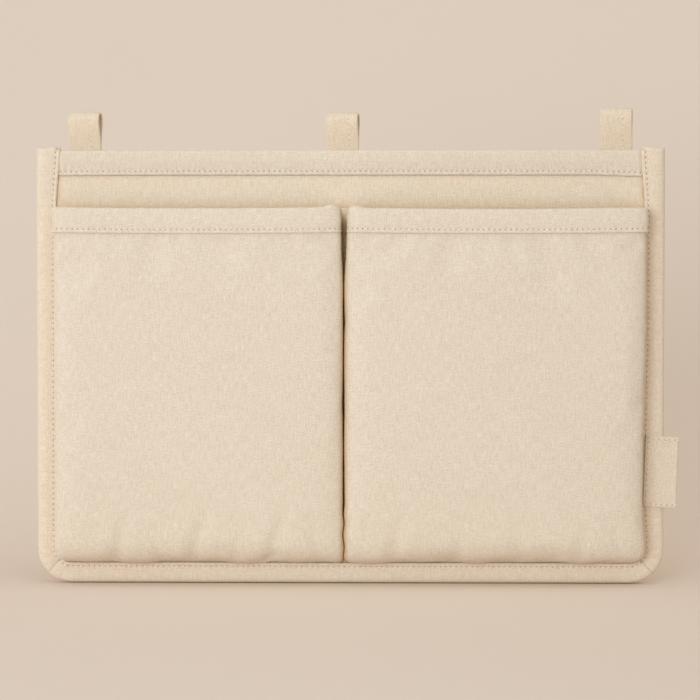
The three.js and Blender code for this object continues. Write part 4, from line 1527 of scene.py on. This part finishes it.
class CADDY_OT_stage(bpy.types.Operator):
    """Makes the floor, backdrop, lamps and camera"""

    bl_idname = "caddy.stage"
    bl_label = "Stage"

    def execute(self, context):
        studio = context.scene.caddy.studio
        self.backdrop(studio)
        aim = Vector((studio.aim_x, POCKET_PLANE, studio.aim_z))
        key = bpy.data.lights.new("key_lamp", "SPOT")
        key.spot_size = math.radians(60.0)
        key.spot_blend = 1.0
        key.shadow_soft_size = KEY_SIZE
        self.hang(key, aim, Vector(KEY_PLACE), studio.key, KEY_TINT)
        for name, (place, size, tint) in SOFT_LAMPS.items():
            lamp = bpy.data.lights.new(f"{name}_lamp", "AREA")
            lamp.shape = "DISK"
            lamp.size = size
            self.hang(lamp, aim, Vector(place), getattr(studio, name), tint)
        self.camera(context.scene, studio, aim)
        world = bpy.data.worlds.new("studio_light")
        world.use_nodes = True
        sky = world.node_tree.nodes["Background"].inputs
        sky["Color"].default_value = SKY_TINT
        sky["Strength"].default_value = studio.sky
        context.scene.world = world
        context.scene.view_settings.view_transform = "Standard"
        return {"FINISHED"}

    def backdrop(self, studio):
        """One seamless sheet: a floor that curves up into a wall."""
        bend, near, far, top, side = 1.05, -3.0, 1.1, 2.6, 3.5
        floor = BOTTOM - 0.4 * MM
        rise = arc(far - bend, floor + bend, bend, -np.pi / 2, 0.0, 33)
        profile = np.concatenate([[(near, floor)], rise, [(far, floor + top)]])
        mesh = grid_mesh("backdrop", swept(profile, np.linspace(-side, side, 9)))
        finished("backdrop", mesh, paper("backdrop_paper", tuple(studio.backdrop)))

    def hang(self, light, aim, offset, power, tint):
        """Hangs a lamp at an offset from what it lights."""
        light.energy = power
        light.color = tint
        lamp = bpy.data.objects.new(light.name, light)
        lamp.location = aim + offset
        lamp.rotation_euler = (-offset).to_track_quat("-Z", "Y").to_euler()
        bpy.context.scene.collection.objects.link(lamp)

    def camera(self, scene, studio, aim):
        """Places the camera at the photograph's viewing angle."""
        data = bpy.data.cameras.new("camera")
        data.sensor_width = 36.0
        data.lens = data.sensor_width * studio.distance / studio.field
        camera = bpy.data.objects.new("camera", data)
        level = math.cos(studio.elevation)
        across, away = math.sin(studio.azimuth) * level, math.cos(studio.azimuth) * level
        back = Vector((across, -away, math.sin(studio.elevation)))
        camera.location = aim + studio.distance * back
        camera.rotation_euler = (-back).to_track_quat("-Z", "Y").to_euler()
        scene.collection.objects.link(camera)
        scene.camera = camera


class CADDY_PT_sidebar(bpy.types.Panel):
    """Lists the caddy's pieces and settings"""

    bl_idname = "CADDY_PT_sidebar"
    bl_label = "Bedside caddy"
    bl_space_type = "VIEW_3D"
    bl_region_type = "UI"
    bl_category = "Caddy"

    def draw(self, context):
        layout = self.layout
        for operator in OPERATORS:
            layout.operator(operator.bl_idname)
        settings = context.scene.caddy
        for group in (settings.sizes, settings.sewing, settings.cloth, settings.studio):
            box = layout.box()
            for name in group.bl_rna.properties.keys():
                if name not in ("rna_type", "name"):
                    box.prop(group, name)


OPERATORS = (
    CADDY_OT_stage,
    CADDY_OT_panel,
    CADDY_OT_top_hem,
    CADDY_OT_binding,
    CADDY_OT_pockets,
    CADDY_OT_centre_strip,
    CADDY_OT_loops,
    CADDY_OT_label,
)
CLASSES = (CaddySizes, CaddySewing, CaddyCloth, CaddyStudio, CaddySettings, *OPERATORS, CADDY_PT_sidebar)


def register():
    for cls in CLASSES:
        bpy.utils.register_class(cls)
    bpy.types.Scene.caddy = bpy.props.PointerProperty(type=CaddySettings)


def unregister():
    del bpy.types.Scene.caddy
    for cls in reversed(CLASSES):
        bpy.utils.unregister_class(cls)


def main():
    register()
    bpy.ops.caddy.stage()
    bpy.ops.caddy.panel()
    bpy.ops.caddy.top_hem()
    bpy.ops.caddy.binding()
    bpy.ops.caddy.pockets()
    bpy.ops.caddy.centre_strip()
    bpy.ops.caddy.loops()
    bpy.ops.caddy.label()


if __name__ == "__main__":
    main()
